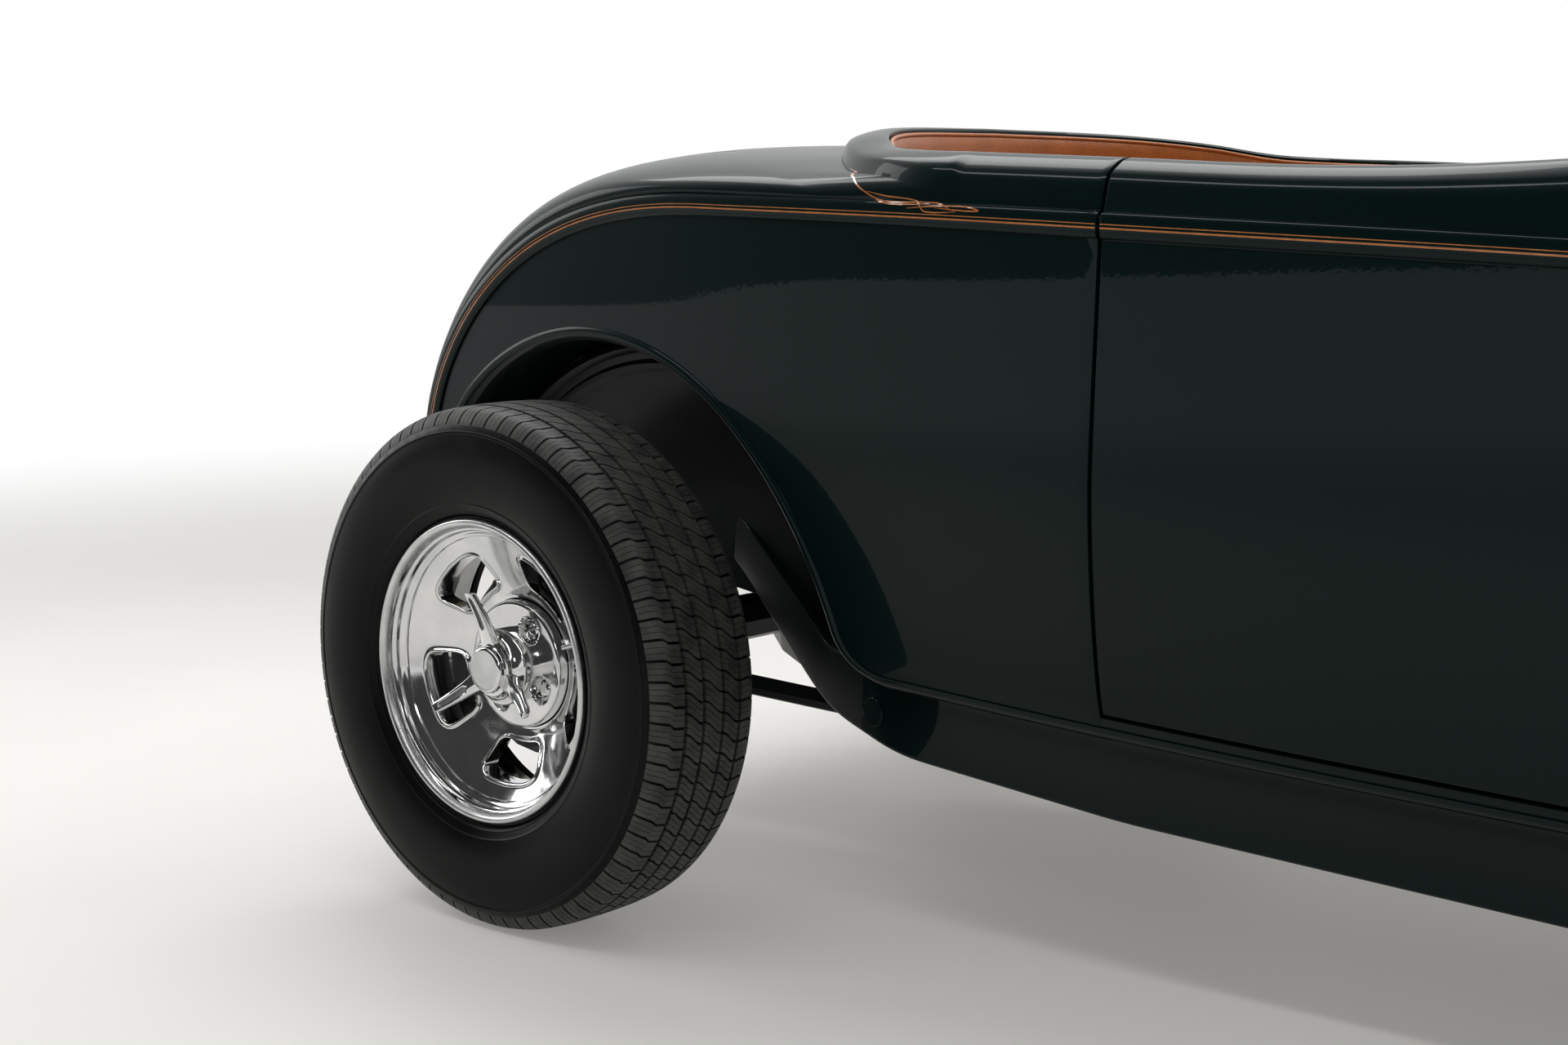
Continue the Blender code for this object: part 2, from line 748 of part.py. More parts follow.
def makeHoodSide(name, side):
    xs = [firewallX + shutGap + k / 4 * (hoodLength - 2 * shutGap) for k in range(5)]
    rows = []
    for x in xs:
        foot = hoodFoot(x)
        top = beltPoints(x - sweepX)
        row = [Vector((x, skinY(x, foot + (top[0].z - foot) * k / 4), foot + (top[0].z - foot) * k / 4))
               for k in range(4)]
        row += [Vector((p.x, p.y, p.z - (shutGap if i == 3 else 0))) for i, p in enumerate(top)]
        rows.append([Vector((p.x, p.y * side, p.z)) for p in row])
    bm = bmesh.new()
    addGrid(bm, rows)
    pointOut(bm, (firewallX + 0.3, 0.0, 0.8))
    made = meshObject(name, bm, "paint", tipped)
    thicken(made, hoodThick)
    panelSide = frozen(made)
    # Pads under the foot rest on the rail
    pads = []
    for x in padXs:
        foot = hoodFoot(x)
        y = skinY(x, foot)
        ys = sorted((side * (y - hoodThick + 0.0005), side * (y - 0.0015)))
        pads.append(frozen(block("pad", (x - padHalf, ys[0], railTopAt(x + padHalf) + runGap),
                                 (x + padHalf, ys[1], foot + 0.008), "paint", tipped)))
    return combine(panelSide, pads)


# Grille shell: the hood's section carried forward and rolled in to the opening

def shellHalf(x, shrink):
    points = [Vector((x, skinY(x, z), z)) for z in (hoodFoot(shellX), 0.72, 0.88, 0.98)]
    base = points[-1]
    for k in range(1, 8):
        turn = k / 7 * pi / 2
        points.append(Vector((x, base.y * max(0.0, cos(turn)) ** (2 / 2.5),
                              base.z + (cowlTop(shellX) - base.z) * sin(turn) ** (2 / 2.5))))
    centre = Vector((x, 0, 0.78))
    return [Vector((x, p.y * (1 - shrink / 0.31), centre.z + (p.z - centre.z) * (1 - shrink / 0.31)))
            for p in points]


# Shell stations: distance ahead of the hood, and how far the outline is drawn in
shellRows = ((shutGap, 0.004), (0.050, 0.008), (0.085, 0.018), (shellDepth, 0.034), (0.090, 0.050),
             (0.070, 0.054))


def makeGrilleShell():
    rows = []
    for ahead, shrink in shellRows:
        half = shellHalf(shellX + ahead, shrink)
        foot = [Vector((half[0].x, half[0].y * share, half[0].z)) for share in (0.0, 0.5)]
        rows.append(foot + half)
    bm = bmesh.new()
    addGrid(bm, rows)
    pointOut(bm, (shellX + 0.03, 0.0, 0.8))
    made = meshObject("grille_shell", bm, "paint", tipped)
    mirrorAcross(made)
    thicken(made, hoodThick)
    return made


grilleBars = 11
grilleShrink = 0.0478
grilleThick = 0.012
grilleBack = 0.0022


def makeGrille():
    """A flat plate that fills the shell's opening, slotted into upright bars."""
    x = shellX + shellRows[-1][0] - grilleBack - 0.5 * grilleThick
    half = shellHalf(x, grilleShrink)
    outline = [(p.y, p.z) for p in half]
    outline += [(-y, z) for y, z in reversed(outline[:-1])]
    low = half[0].z
    holes = []
    pitch = 2 * half[0].y / (grilleBars + 1)
    for k in range(grilleBars):
        y = (k - (grilleBars - 1) / 2) * pitch
        inside = [(p.y, p.z) for p in half if p.y > abs(y) + 0.3 * pitch]
        top = max(z for w, z in inside)
        holes.append([(y - 0.32 * pitch, low + 0.020), (y + 0.32 * pitch, low + 0.020),
                      (y + 0.32 * pitch, top - 0.022), (y - 0.32 * pitch, top - 0.022)])
    made = plate("grille", [outline] + holes, grilleThick, "chrome", tipped)
    made.rotation_euler = (pi / 2, 0, pi / 2)
    made.location = (x, 0, 0)
    return made


rearBody = makeRearBody()
deckLid = makeDeckLid()
doorLeft = makeDoor("door_left", 1)
doorRight = makeDoor("door_right", -1)
cowl = makeCowl()
firewall = makeFirewall()
for side, word in ((1, "left"), (-1, "right")):
    makeHoodTop("hood_top_" + word, side)
    makeHoodSide("hood_side_" + word, side)
makeHoodHinge()
grilleShell = makeGrilleShell()
grille = makeGrille()
block("radiator", (shellX - 0.060, -0.215, 0.5254), (shellX + 0.001, 0.215, 1.020), "blackSteel", tipped)


# Glass and cabin

windBaseX = 1.800
windBaseZ = 1.178
windHeight = 0.235
windHalf = halfWidth(windBaseX) - 0.0502
windBar = 0.022
windLean = 24.0
windThick = 0.016
windFoot = 0.035


def makeWindshield():
    """A frame bent from one bar with two feet, and a flat glass held inside it."""
    def footZ(y):
        """Drop along the leaning frame from its base to just above the cowl."""
        lean = radians(windLean)
        back = Vector((windBaseX - 0.5 * windThick * cos(lean), y, windBaseZ - 0.5 * windThick * sin(lean)))
        down = Vector((sin(lean), 0, -cos(lean)))
        spot, normal = hitOn(cowl, back + down * -0.05, down)
        return runGap + 0.05 - (spot - back - down * -0.05).length
    # The foot's straight lower edge clears the cowl's bulge between its two ends
    heights = [footZ(windHalf - windFoot * k / 6) for k in range(7)]
    lift = max(h - heights[0] - (heights[6] - heights[0]) * k / 6 for k, h in enumerate(heights))
    out, near = heights[0] + lift, heights[6] + lift
    outer = [(-windHalf, out), (-windHalf, windHeight - 0.03), (-windHalf + 0.03, windHeight),
             (windHalf - 0.03, windHeight), (windHalf, windHeight - 0.03), (windHalf, out),
             (windHalf - windFoot, near), (windHalf - windFoot, 0), (-windHalf + windFoot, 0),
             (-windHalf + windFoot, near)]
    b = windBar
    hole = [(-windHalf + b, b), (windHalf - b, b), (windHalf - b, windHeight - 0.03 - b / 2),
            (windHalf - 0.03 - b / 2, windHeight - b), (-windHalf + 0.03 + b / 2, windHeight - b),
            (-windHalf + b, windHeight - 0.03 - b / 2)]
    frame = plate("windshield_frame", [outer, hole], windThick, "chrome", tipped)
    glass = [(x * (1 - 0.0006), windHeight / 2 + (z - windHeight / 2) * (1 - 0.003)) for x, z in hole]
    pane = plate("windshield_glass", [glass], 0.006, "glass", tipped)
    for made in (frame, pane):
        made.matrix_local = (Matrix.Translation((windBaseX, 0, windBaseZ))
                             @ Matrix.Rotation(-radians(windLean), 4, "Y")
                             @ Matrix.Rotation(pi / 2, 4, "Z") @ Matrix.Rotation(pi / 2, 4, "X"))


makeWindshield()

flangeZ = sillZ - 0.004
floorThick = 0.012
floorZ = flangeZ + panel + fit + floorThick
trunkZ = 0.640
kickX = 0.330
tailFloorX = -0.420
tunnelHalf = 0.120
# Pads under the floor rest on the frame rails
floorPadX = 1.580
floorPadY = (0.4405, 0.4490)
tunnelHigh = 0.100


def makeFloor():
    """Floor pan with a tunnel, a step up over the axle, and the luggage floor behind it."""
    # Top of the pan from the toe board back: x, z, half width, shift of its underside in x
    stations = ((firewallX - firewallThick - 0.004, 0.700, 0.395, 0), (firewallX - 0.20, floorZ, 0.420, 0),
                (frontX - 0.06, floorZ, 0.450, 0), (0.680, floorZ, 0.450, 0), (0.600, floorZ, 0.400, 0),
                (kickX, floorZ, 0.400, -floorThick), (kickX, trunkZ, 0.385, -floorThick),
                (tailFloorX, trunkZ, 0.360, 0))
    loops = []
    for x, z, half, shift in stations:
        loops.append([Vector((x, -half, z)), Vector((x, half, z)),
                      Vector((x + shift, half, z - floorThick)), Vector((x + shift, -half, z - floorThick))])
    pan = closedLoft("floor", loops, "blackSteel", tipped, smooth=False)
    tunnel = frozen(block("tunnel", (kickX + 0.02, -tunnelHalf, floorZ - 0.002),
                          (firewallX - 0.18, tunnelHalf, floorZ + tunnelHigh), "blackSteel", tipped, 0.03))
    pads = []
    for side in (1, -1):
        ys = sorted((side * floorPadY[0], side * floorPadY[1]))
        pads.append(frozen(block("pad", (floorPadX - 0.02, ys[0], 0.4195 + runGap),
                                 (floorPadX + 0.02, ys[1], floorZ - 0.004), "blackSteel", tipped)))
    return combine(pan, [tunnel] + pads)


makeFloor()

seatBackX = 0.400
seatDepth = 0.520
seatHalf = halfWidth(shutX) - doorThick - 0.083
seatTop = 0.720
seatThick = 0.110
backTop = 1.090
backThick = 0.130
backLean = 0.140


def makeSeats():
    front = seatBackX + backLean + backThick
    low = seatTop - seatThick
    block("seat_cushion", (front + 0.005, -seatHalf, low), (front + seatDepth, seatHalf, seatTop),
          "leather", tipped, 0.030)
    block("seat_base", (front - backThick + 0.005, -0.430, floorZ + tunnelHigh + fit), (front + seatDepth - 0.04, 0.430, low - fit),
          "blackSteel", tipped)
    loops = []
    for y in (-seatHalf, seatHalf):
        loops.append([Vector((front, y, low)), Vector((front - backThick, y, low)),
                      Vector((seatBackX - 0.02, y, backTop - 0.03)), Vector((seatBackX + 0.01, y, backTop)),
                      Vector((seatBackX + 0.07, y, backTop - 0.01))])
    closedLoft("seat_back", loops, "leather", tipped, smooth=False)


# The dash stands at the cowl's second station
dashX = frontX + shutGap / 2 + (cowlLength - shutGap / 2) / 3
dashLowZ = 0.93
dashFitY = 0.0026
dashFitZ = 0.0026


def makeDash():
    half = cowlLoop(dashX, True)
    pts = [(max(0.0, p.y - dashFitY), p.z - dashFitZ) for p in half
           if dashLowZ < p.z < beltTopZ - 0.036 or p.z > beltTopZ + 0.010]
    outline = pts + [(-y, z) for y, z in reversed(pts[:-1])]
    made = plate("dash", [outline], 0.014, "paint", tipped)
    made.rotation_euler = (pi / 2, 0, pi / 2)
    made.location = (dashX, 0, 0)
    return made


makeSeats()
makeDash()

# Steering wheel and column, in the tipped frame
wheelHubX = 1.330
wheelHubZ = 0.985
driverY = 0.270
columnTilt = 38.0
steerRimR = 0.180


def makeSteering():
    along = Vector((cos(radians(columnTilt)), 0, -sin(radians(columnTilt))))
    hub = Vector((wheelHubX, driverY, wheelHubZ))
    foot = hub + along * 0.6908
    start = hub + along * (0.018 + runGap)
    tube("steering_column", [start, foot], 0.019, "chrome", tipped, 3)
    turn = emptyAt("steeringWheelAxis", hub, tipped)
    turn.rotation_euler = (0, radians(90 + columnTilt) - pi, 0)
    ring = [(steerRimR * cos(2 * pi * k / 24), steerRimR * sin(2 * pi * k / 24), 0) for k in range(24)]
    rim = frozen(tube("steering_wheel", ring, 0.012, "leather", turn, 1, True))
    boss = turned("boss", ((0, 0.016), (0.022, 0.016), (0.028, 0.0), (0.028, -0.018), (0, -0.018)), 12,
                  "chrome", turn)
    spokes = []
    for k in range(3):
        spoke = block("spoke", (0.010, -0.012, -0.003), (steerRimR - 0.004, 0.012, 0.003), "chrome", turn)
        spoke.rotation_euler = (0, 0, radians(90 + 120 * k))
        spokes.append(frozen(spoke))
    return combine(rim, [frozen(boss)] + spokes)


makeSteering()

# Frame: side rails with a kick-up at each end, joined by cross members

def makeFrame():
    sides = []
    for side, word in ((1, "a"), (-1, "b")):
        loops = []
        for x, low, high, wide in railRows:
            loops.append([Vector((x, side * wide, low)), Vector((x, side * wide, high)),
                          Vector((x, side * (wide - railThick), high)),
                          Vector((x, side * (wide - railThick), low))])
        sides.append(closedLoft("rail" + word, loops, "paint", tipped, smooth=False))
    crosses = []
    # Cross members: x, z, half width, radius
    for x, z, wide, radius in ((-0.408, 0.585, 0.385, 0.018), (0.62, 0.322, 0.490, 0.018),
                               (1.62, 0.322, 0.460, 0.018), (shellX - 0.029, 0.503, 0.310, 0.022),
                               (shellX + 0.216, 0.505, 0.300, 0.018)):
        crosses.append(tube("cross", [(x, -wide, z), (x, wide, z)], radius, "paint", tipped, 2))
    base = sides[0]
    base.name = "frame"
    return combine(base, [sides[1]] + crosses)


makeFrame()

engineFootZ = 0.470
gearTopZ = 0.418
earX = firewallX + 0.366
earY = 0.340
earZ = 0.4764
shaftZ = 0.390
shaftR = 0.030


def makeDriveline():
    base = frozen(block("engine", (firewallX + 0.015, -0.240, engineFootZ), (shellX - 0.130, 0.240, 1.000),
                        "castIron", tipped, 0.03))
    # Gearbox, bell housing, and an ear on each side that rests on the rail
    boxes = [((1.300, -0.100, 0.345), (firewallX + 0.120, 0.100, gearTopZ)),
             ((firewallX + 0.021, -0.160, 0.350), (firewallX + 0.160, 0.160, 0.520)),
             ((earX - 0.020, 0.220, earZ), (earX + 0.020, earY, earZ + 0.042)),
             ((earX - 0.020, -earY, earZ), (earX + 0.020, -0.220, earZ + 0.042))]
    combine(base, [frozen(block("lump", low, high, "castIron", tipped)) for low, high in boxes])
    tube("driveshaft", [(1.300 - fit, 0, shaftZ), (0.150, 0, shaftZ)], shaftR, "blackSteel", tipped, 3)
    block("fuel_tank", (-0.385, -0.320, 0.475), (-0.165, 0.320, trunkZ - floorThick - fit),
          "blackSteel", tipped, 0.03)
    for side, word in ((1, "left"), (-1, "right")):
        # Exhaust route: x, y, z in the tipped frame
        route = ((firewallX + 0.306, 0.262, 0.520), (firewallX + 0.126, 0.268, 0.400), (firewallX - 0.094, 0.250, 0.372),
                 (1.500, 0.250, 0.372),
                 (0.520, 0.250, 0.372), (0.360, 0.262, 0.395), (0.270, 0.270, 0.420), (0.150, 0.275, 0.500),
                 (0.000, 0.280, 0.525),
                 (-0.130, 0.345, 0.480), (-0.200, 0.370, 0.440), (-0.330, 0.375, 0.405), (-0.455, 0.375, 0.395))
        tube("exhaust_" + word, [(x, y * side, z) for x, y, z in route], 0.022, "chrome", tipped, 2)


makeDriveline()

# Wheels and tyres

turnSteps = 28
windowCount = 5
windowLow = 0.118
windowHigh = 0.172
windowHalfDeg = 20.0
windowTurnDeg = 199.5
spinnerTurnDeg = 94.7
hubR = 0.095
spinnerR = 0.1155


def tyreProfile(outerR, width, rimR):
    """Half section from the outer bead over the tread, mirrored to the inner bead."""
    wall = outerR - rimR
    half = ((rimR, 0.40 * width), (rimR + 0.011, 0.40 * width), (rimR + 0.16 * wall, 0.460 * width), (rimR + 0.50 * wall, 0.500 * width),
            (rimR + 0.80 * wall, 0.475 * width), (outerR - 0.010, 0.415 * width), (outerR, 0.360 * width))
    return list(half) + [(r, -h) for r, h in reversed(half)]


def wheelProfile(width, rimR):
    """Outer face from the centre out to the lip, over the barrel, and back to the centre behind."""
    bead = 0.40 * width + fit
    lip = bead + 0.010
    reach = rimR - 0.216
    return ((0, 0.020), (hubR - 0.006, 0.020), (hubR, 0.015), (hubR + 0.004, 0.0), (0.108, 0.001),
            (0.194 + reach, lip - 0.039), (0.206 + reach, lip - 0.020), (rimR + 0.008, lip), (rimR + 0.008, bead),
            (rimR - fit, bead), (rimR - fit, -bead), (rimR + 0.008, -bead), (rimR + 0.006, -lip), (rimR - 0.006, -lip),
            (0.196 + reach, lip - 0.067), (0.100, -0.006), (0, -0.006))


def windowCutter(parent, angle, rimR):
    reach = rimR - 0.216
    loops = []
    for h in (-0.03, 0.06):
        loop = []
        # Corner: share of the radius range, share of the half angle
        for radial, swing in ((0.0, -0.75), (0.0, 0.75), (0.85, 1.0), (1.0, 0.85), (1.0, 0.0),
                              (1.0, -0.85), (0.85, -1.0)):
            r = windowLow + (windowHigh + reach - windowLow) * radial
            a = angle + radians(windowHalfDeg * swing)
            loop.append(Vector((r * cos(a), r * sin(a), h)))
        loops.append(loop)
    return closedLoft("windowCutter", loops, "polished", parent, smooth=False)


def makeWheel(name, parent, width, rimR):
    """Cast wheel with five windows and a three-bar spinner on its hub."""
    wheel = frozen(turned(name, wheelProfile(width, rimR), turnSteps, "polished", parent))
    cutters = [windowCutter(parent, 2 * pi * k / windowCount + radians(windowTurnDeg), rimR) for k in range(windowCount)]
    wheel = combine(wheel, cutters, "DIFFERENCE")
    cap = turned("cap", ((0, 0.079), (0.029, 0.079), (0.034, 0.074), (0.041, 0.060), (0.056, 0.050),
                         (0.056, 0.018), (0, 0.018)), 14,
                 "polished", parent)
    pieces = [frozen(cap)]
    for k in range(3):
        a = radians(spinnerTurnDeg + 120 * k)
        loops = []
        # Bar stations: radius, half width, low and high
        for r, half, low, high in ((0.020, 0.016, 0.052, 0.070), (0.060, 0.011, 0.060, 0.076),
                                   (spinnerR, 0.0075, 0.086, 0.099)):
            loops.append([Vector((r * cos(a) - w * sin(a), r * sin(a) + w * cos(a), h))
                          for w, h in ((-half, low), (half, low), (half, high), (-half, high))])
        pieces.append(closedLoft("bar", loops, "polished", parent, smooth=False))
    return combine(wheel, pieces)


def setWheel(word, side, x, y, outerR, width, rimR, parent):
    axis = emptyAt("axis_" + word, (x, side * y, outerR), parent)
    axis.rotation_euler = (pi / 2, 0, pi if side > 0 else 0)
    turned("tyre_" + word, tyreProfile(outerR, width, rimR), turnSteps, "rubber", axis)
    makeWheel("wheel_" + word, axis, width, rimR)


for side, word in ((1, "left"), (-1, "right")):
    setWheel("rear_" + word, side, 0.0, rearTyreY, rearTyreR, rearTyreW, rearRimR, car)
    setWheel("front_" + word, side, wheelBase, frontTyreY, frontTyreR, frontTyreW, frontRimR, car)

# Rear axle

drumR = 0.140
wheelBack = 0.0063


def levelTube(name, points, radius, finish, sides=2):
    return frozen(tube(name, points, radius, finish, car, sides))


def acrossTurned(name, profile, steps, finish, x, y, z, side):
    made = turned(name, profile, steps, finish, car, (x, y, z))
    made.rotation_euler = (pi / 2, 0, pi if side > 0 else 0)
    return frozen(made)


def makeRearAxle():
    z = rearTyreR
    base = levelTube("rear_axle", [(0, -0.640, z), (0, 0.640, z)], 0.038, "blackSteel", 2)
    pieces = [acrossTurned("diff", ((0, 0.105), (0.060, 0.105), (0.115, 0.060), (0.130, 0.0), (0.115, -0.060),
                                    (0.060, -0.105), (0, -0.105)), 14, "blackSteel", 0, 0, z, -1)]
    pieces.append(levelTube("nose", [(0.050, 0, z + 0.003), (0.168, 0, z + 0.001)], 0.045, "blackSteel", 2))
    for side in (1, -1):
        outer = rearTyreY - wheelBack - 0.0003
        depth = outer - 0.615
        pieces.append(acrossTurned("drum", ((0, 0.0), (drumR - 0.012, 0.0), (drumR, -0.012), (drumR, -depth),
                                            (0, -depth)), 20, "castIron", 0, side * outer, z, side))
        pieces.append(levelTube("ladder", [(0.0, side * 0.440, z - 0.045), (0.300, side * 0.355, 0.304),
                                           (ladderX, side * 0.340, 0.294)], 0.016, "blackSteel"))
    return combine(base, pieces)


# The ladder bars stop against the frame's cross tube
ladderX = 0.62 * cos(radians(rakeDeg)) + 0.322 * sin(radians(rakeDeg)) - 0.018 - 0.0006

makeRearAxle()

# Front axle and steering, level

kingY = 0.585
kingTop = 0.365
kingLow = 0.295
beamR = 0.022
armBack = 0.140
dragBack = 0.175
armTop = 0.251
armThick = 0.013
rodR = 0.011
pitmanX = wheelBase - 0.205
pitmanY = 0.200
boxOuterY = 0.2912


def makeFrontAxle():
    z = frontTyreR
    # Beam: y, z
    half = ((0.575, z), (0.500, z), (0.440, z - 0.030), (0.360, z - 0.080))
    route = [(wheelBase, -y, h) for y, h in half] + [(wheelBase, y, h) for y, h in reversed(half)]
    base = levelTube("front_axle", route, beamR, "chrome")
    pieces = []
    for side in (1, -1):
        pieces.append(levelTube("boss", [(wheelBase, side * kingY, kingLow), (wheelBase, side * kingY, kingTop)],
                                0.022, "chrome"))
    return combine(base, pieces)


def makeKnuckle(word, side):
    z = frontTyreR
    y = side * kingY

    def slab(low, high):
        a = (low[0], min(low[1], high[1]), low[2])
        b = (high[0], max(low[1], high[1]), high[2])
        return block("slab", a, b, "chrome", car)
    outer = side * 0.632
    base = slab((wheelBase - 0.024, side * 0.612, kingLow - 0.020), (wheelBase + 0.024, outer, kingTop + 0.020))
    base.name = "knuckle_" + word
    pieces = [slab((wheelBase - 0.022, y - side * 0.020, kingTop + fit), (wheelBase + 0.022, side * 0.614, kingTop + 0.018)),
              slab((wheelBase - 0.022, y - side * 0.020, armTop - 0.002), (wheelBase + 0.022, side * 0.614, kingLow - fit)),
              slab((wheelBase - (dragBack if side < 0 else armBack) - 0.016, y - 0.014, armTop - armThick),
                   (wheelBase + 0.018, y + 0.014, armTop))]
    inner = frontTyreY - wheelBack - 0.0003
    depth = inner - 0.625
    pieces.append(acrossTurned("drum", ((0, 0.0), (0.118, 0.0), (0.125, -0.010), (0.125, -depth), (0, -depth)),
                               20, "castIron", wheelBase, side * inner, z, side))
    return combine(base, pieces)


def makeLinks():
    x = wheelBase - armBack
    low = armTop - armThick - rodR - fit
    tube("tie_rod", [(x, -kingY - 0.012, low), (x, kingY + 0.012, low)], rodR, "chrome", car, 2)
    high = armTop + rodR + fit
    reach = Vector((pitmanX - wheelBase, pitmanY + kingY, 0))
    start = Vector((wheelBase - dragBack, -kingY, high))
    over = reach.normalized() * 0.012
    tube("drag_link", [start - over, start + reach + over], rodR, "chrome", car, 2)
    armLow = high + rodR + fit
    block("pitman_arm", (pitmanX - dragBack - 0.014, pitmanY - 0.013, armLow),
          (pitmanX + 0.018, pitmanY + 0.013, armLow + 0.014), "blackSteel", car, 0.004)
    block("steering_box", (pitmanX - 0.045, pitmanY - 0.034, armLow + 0.014 + fit),
          (pitmanX + 0.050, boxOuterY, armLow + 0.062), "blackSteel", car, 0.008)


makeFrontAxle()
makeKnuckle("left", 1)
makeKnuckle("right", -1)
makeLinks()
for side, word in ((1, "left"), (-1, "right")):
    tube("radius_rod_" + word, [(wheelBase - beamR - 0.0006, side * 0.420, 0.303), (2.000, side * 0.4468, 0.255)],
         0.012, "chrome", car, 2)

# Lamps

lampX = shellX + 0.216
lampY = 0.425
lampZ = 0.800
lampR = 0.092
# Frame top under the lamps, which falls with the rake
lampFootZ = 0.53728 - lampX * tan(radians(rakeDeg))


def makeLamps():
    post = [(lampX - 0.02, -0.302, lampFootZ), (lampX - 0.02, -0.345, 0.560), (lampX, -lampY, lampZ - lampR - 0.045),
            (lampX, -lampY, lampZ - lampR - 0.0044)]
    bar = levelTube("headlamp_bar", post, 0.014, "chrome")
    other = levelTube("post", [(x, -y, z) for x, y, z in post], 0.014, "chrome")
    cross = levelTube("cross", [(lampX - 0.02, -0.345, 0.560), (lampX - 0.02, 0.345, 0.560)], 0.012, "chrome")
    combine(bar, [other, cross])
    for side, word in ((1, "left"), (-1, "right")):
        lamp = turned("headlamp_" + word, ((0, 0.052), (0.070, 0.040), (lampR, 0.020), (lampR + 0.004, 0.006),
                                           (lampR, -0.006), (0.080, -0.060), (0.050, -0.095), (0, -0.108)), 20,
                      "chrome", car, (lampX, side * lampY, lampZ))
        lamp.rotation_euler = (0, pi / 2, 0)
    for side, word in ((1, "left"), (-1, "right")):
        u = -0.76
        s = 0.50
        here = deckPoint(u, s)
        across = deckPoint(u, s + 0.01) - deckPoint(u, s - 0.01)
        along = deckPoint(u - 0.01, s) - deckPoint(u + 0.01, s)
        normal = across.cross(along).normalized()
        if normal.x > 0:
            normal = -normal
        here, normal = hitOn(rearBody, here + normal * 0.05, -normal)
        # The flat back stands on the highest point of the skin under it
        across = normal.orthogonal().normalized()
        lift = runGap
        for k in range(24):
            rim = Matrix.Rotation(2 * pi * (k % 12) / 12, 3, normal) @ across * (0.036 if k < 12 else 0.018)
            spot = hitOn(rearBody, here + rim + normal * 0.05, -normal)[0]
            lift = max(lift, (spot - here).dot(normal) + runGap)
        lamp = turned("tail_lamp_" + word, ((0, 0.034), (0.022, 0.032), (0.034, 0.022), (0.036, 0.0), (0, 0.0)), 18,
                      "redLens", tipped, (here.x + normal.x * lift, side * (here.y + normal.y * lift),
                                          here.z + normal.z * lift))
        lamp.rotation_euler = Vector((normal.x, side * normal.y, normal.z)).to_track_quat("Z", "Y").to_euler()


makeLamps()
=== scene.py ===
# Looks of the street rod roadster: finishes, detailed tyres and wheels, smooth body skins, trim and seats.
import random
import bpy
import bmesh
import math
from math import pi, sin, cos, radians, copysign, sqrt
from mathutils import Vector, Matrix
from mathutils.bvhtree import BVHTree


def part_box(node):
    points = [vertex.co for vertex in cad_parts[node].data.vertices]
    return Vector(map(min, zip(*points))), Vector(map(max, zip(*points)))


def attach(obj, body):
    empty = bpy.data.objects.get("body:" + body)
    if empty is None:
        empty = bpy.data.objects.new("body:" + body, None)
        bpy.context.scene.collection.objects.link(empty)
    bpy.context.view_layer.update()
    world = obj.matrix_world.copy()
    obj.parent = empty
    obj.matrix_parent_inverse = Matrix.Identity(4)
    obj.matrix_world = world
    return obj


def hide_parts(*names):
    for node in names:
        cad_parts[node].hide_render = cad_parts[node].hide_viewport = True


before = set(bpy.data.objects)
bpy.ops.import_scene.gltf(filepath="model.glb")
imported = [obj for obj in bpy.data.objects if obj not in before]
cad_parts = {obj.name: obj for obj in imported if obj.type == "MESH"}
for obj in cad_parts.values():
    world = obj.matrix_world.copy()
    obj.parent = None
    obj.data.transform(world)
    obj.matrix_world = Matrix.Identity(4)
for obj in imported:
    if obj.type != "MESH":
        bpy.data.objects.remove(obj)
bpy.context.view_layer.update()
random.seed(7)
print("stage: frame loaded")

# Shared sizes of the car, in metres
car = {
    "wheelBase": 2.845, "rake": 3.0, "shutGap": 0.005,
    "sillZ": 0.424, "foldZ": 0.453, "beltTopZ": 1.066, "beltHalf": 0.0165, "beltProud": 0.0065,
    "railZ": 1.146, "shutX": 0.904, "doorLength": 0.760, "cowlLength": 0.330, "hoodLength": 0.690,
    "lipIn": 0.068,
}
sweep = {"x": 0.2575, "back": 0.7204, "foot": 0.430, "power": 2.4}
deck = {"x": 0.202, "topZ": 1.151, "back": 0.700, "foot": 0.450, "power": 3.07, "crown": 2.386,
        "tailCrown": 1.737, "frontX": 0.475}
lipSize = {"backX": 0.270, "sideX": 0.670, "backZ": 1.181, "rollWidth": 0.065}
arch = {"x": 0.0, "z": 0.390, "radius": 0.472, "drop": 0.412, "wellY": 0.430}

frontX = car["shutX"] + car["doorLength"]
firewallX = frontX + car["cowlLength"]
shellX = firewallX + car["hoodLength"]
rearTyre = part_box("tyre_rear_right")
originX = 0.5 * (rearTyre[0].x + rearTyre[1].x)
rakeTurn = Matrix.Rotation(radians(car["rake"]), 4, "Y")
tipped = Matrix.Translation((originX, 0, 0)) @ rakeTurn    # body frame: level body, tipped nose down


# Colour, node and mesh helpers

def hexColour(code):    # sRGB hex to linear
    values = []
    for i in (0, 2, 4):
        c = int(code[i:i + 2], 16) / 255
        values.append(c / 12.92 if c <= 0.04045 else ((c + 0.055) / 1.055) ** 2.4)
    return (*values, 1.0)


def addNode(tree, kind, inputs=None, **settings):    # one node with its settings, values and links
    made = tree.nodes.new(kind)
    for key, value in settings.items():
        setattr(made, key, value)
    for key, value in (inputs or {}).items():
        if isinstance(value, bpy.types.NodeSocket):
            tree.links.new(value, made.inputs[key])
        else:
            made.inputs[key].default_value = value
    return made


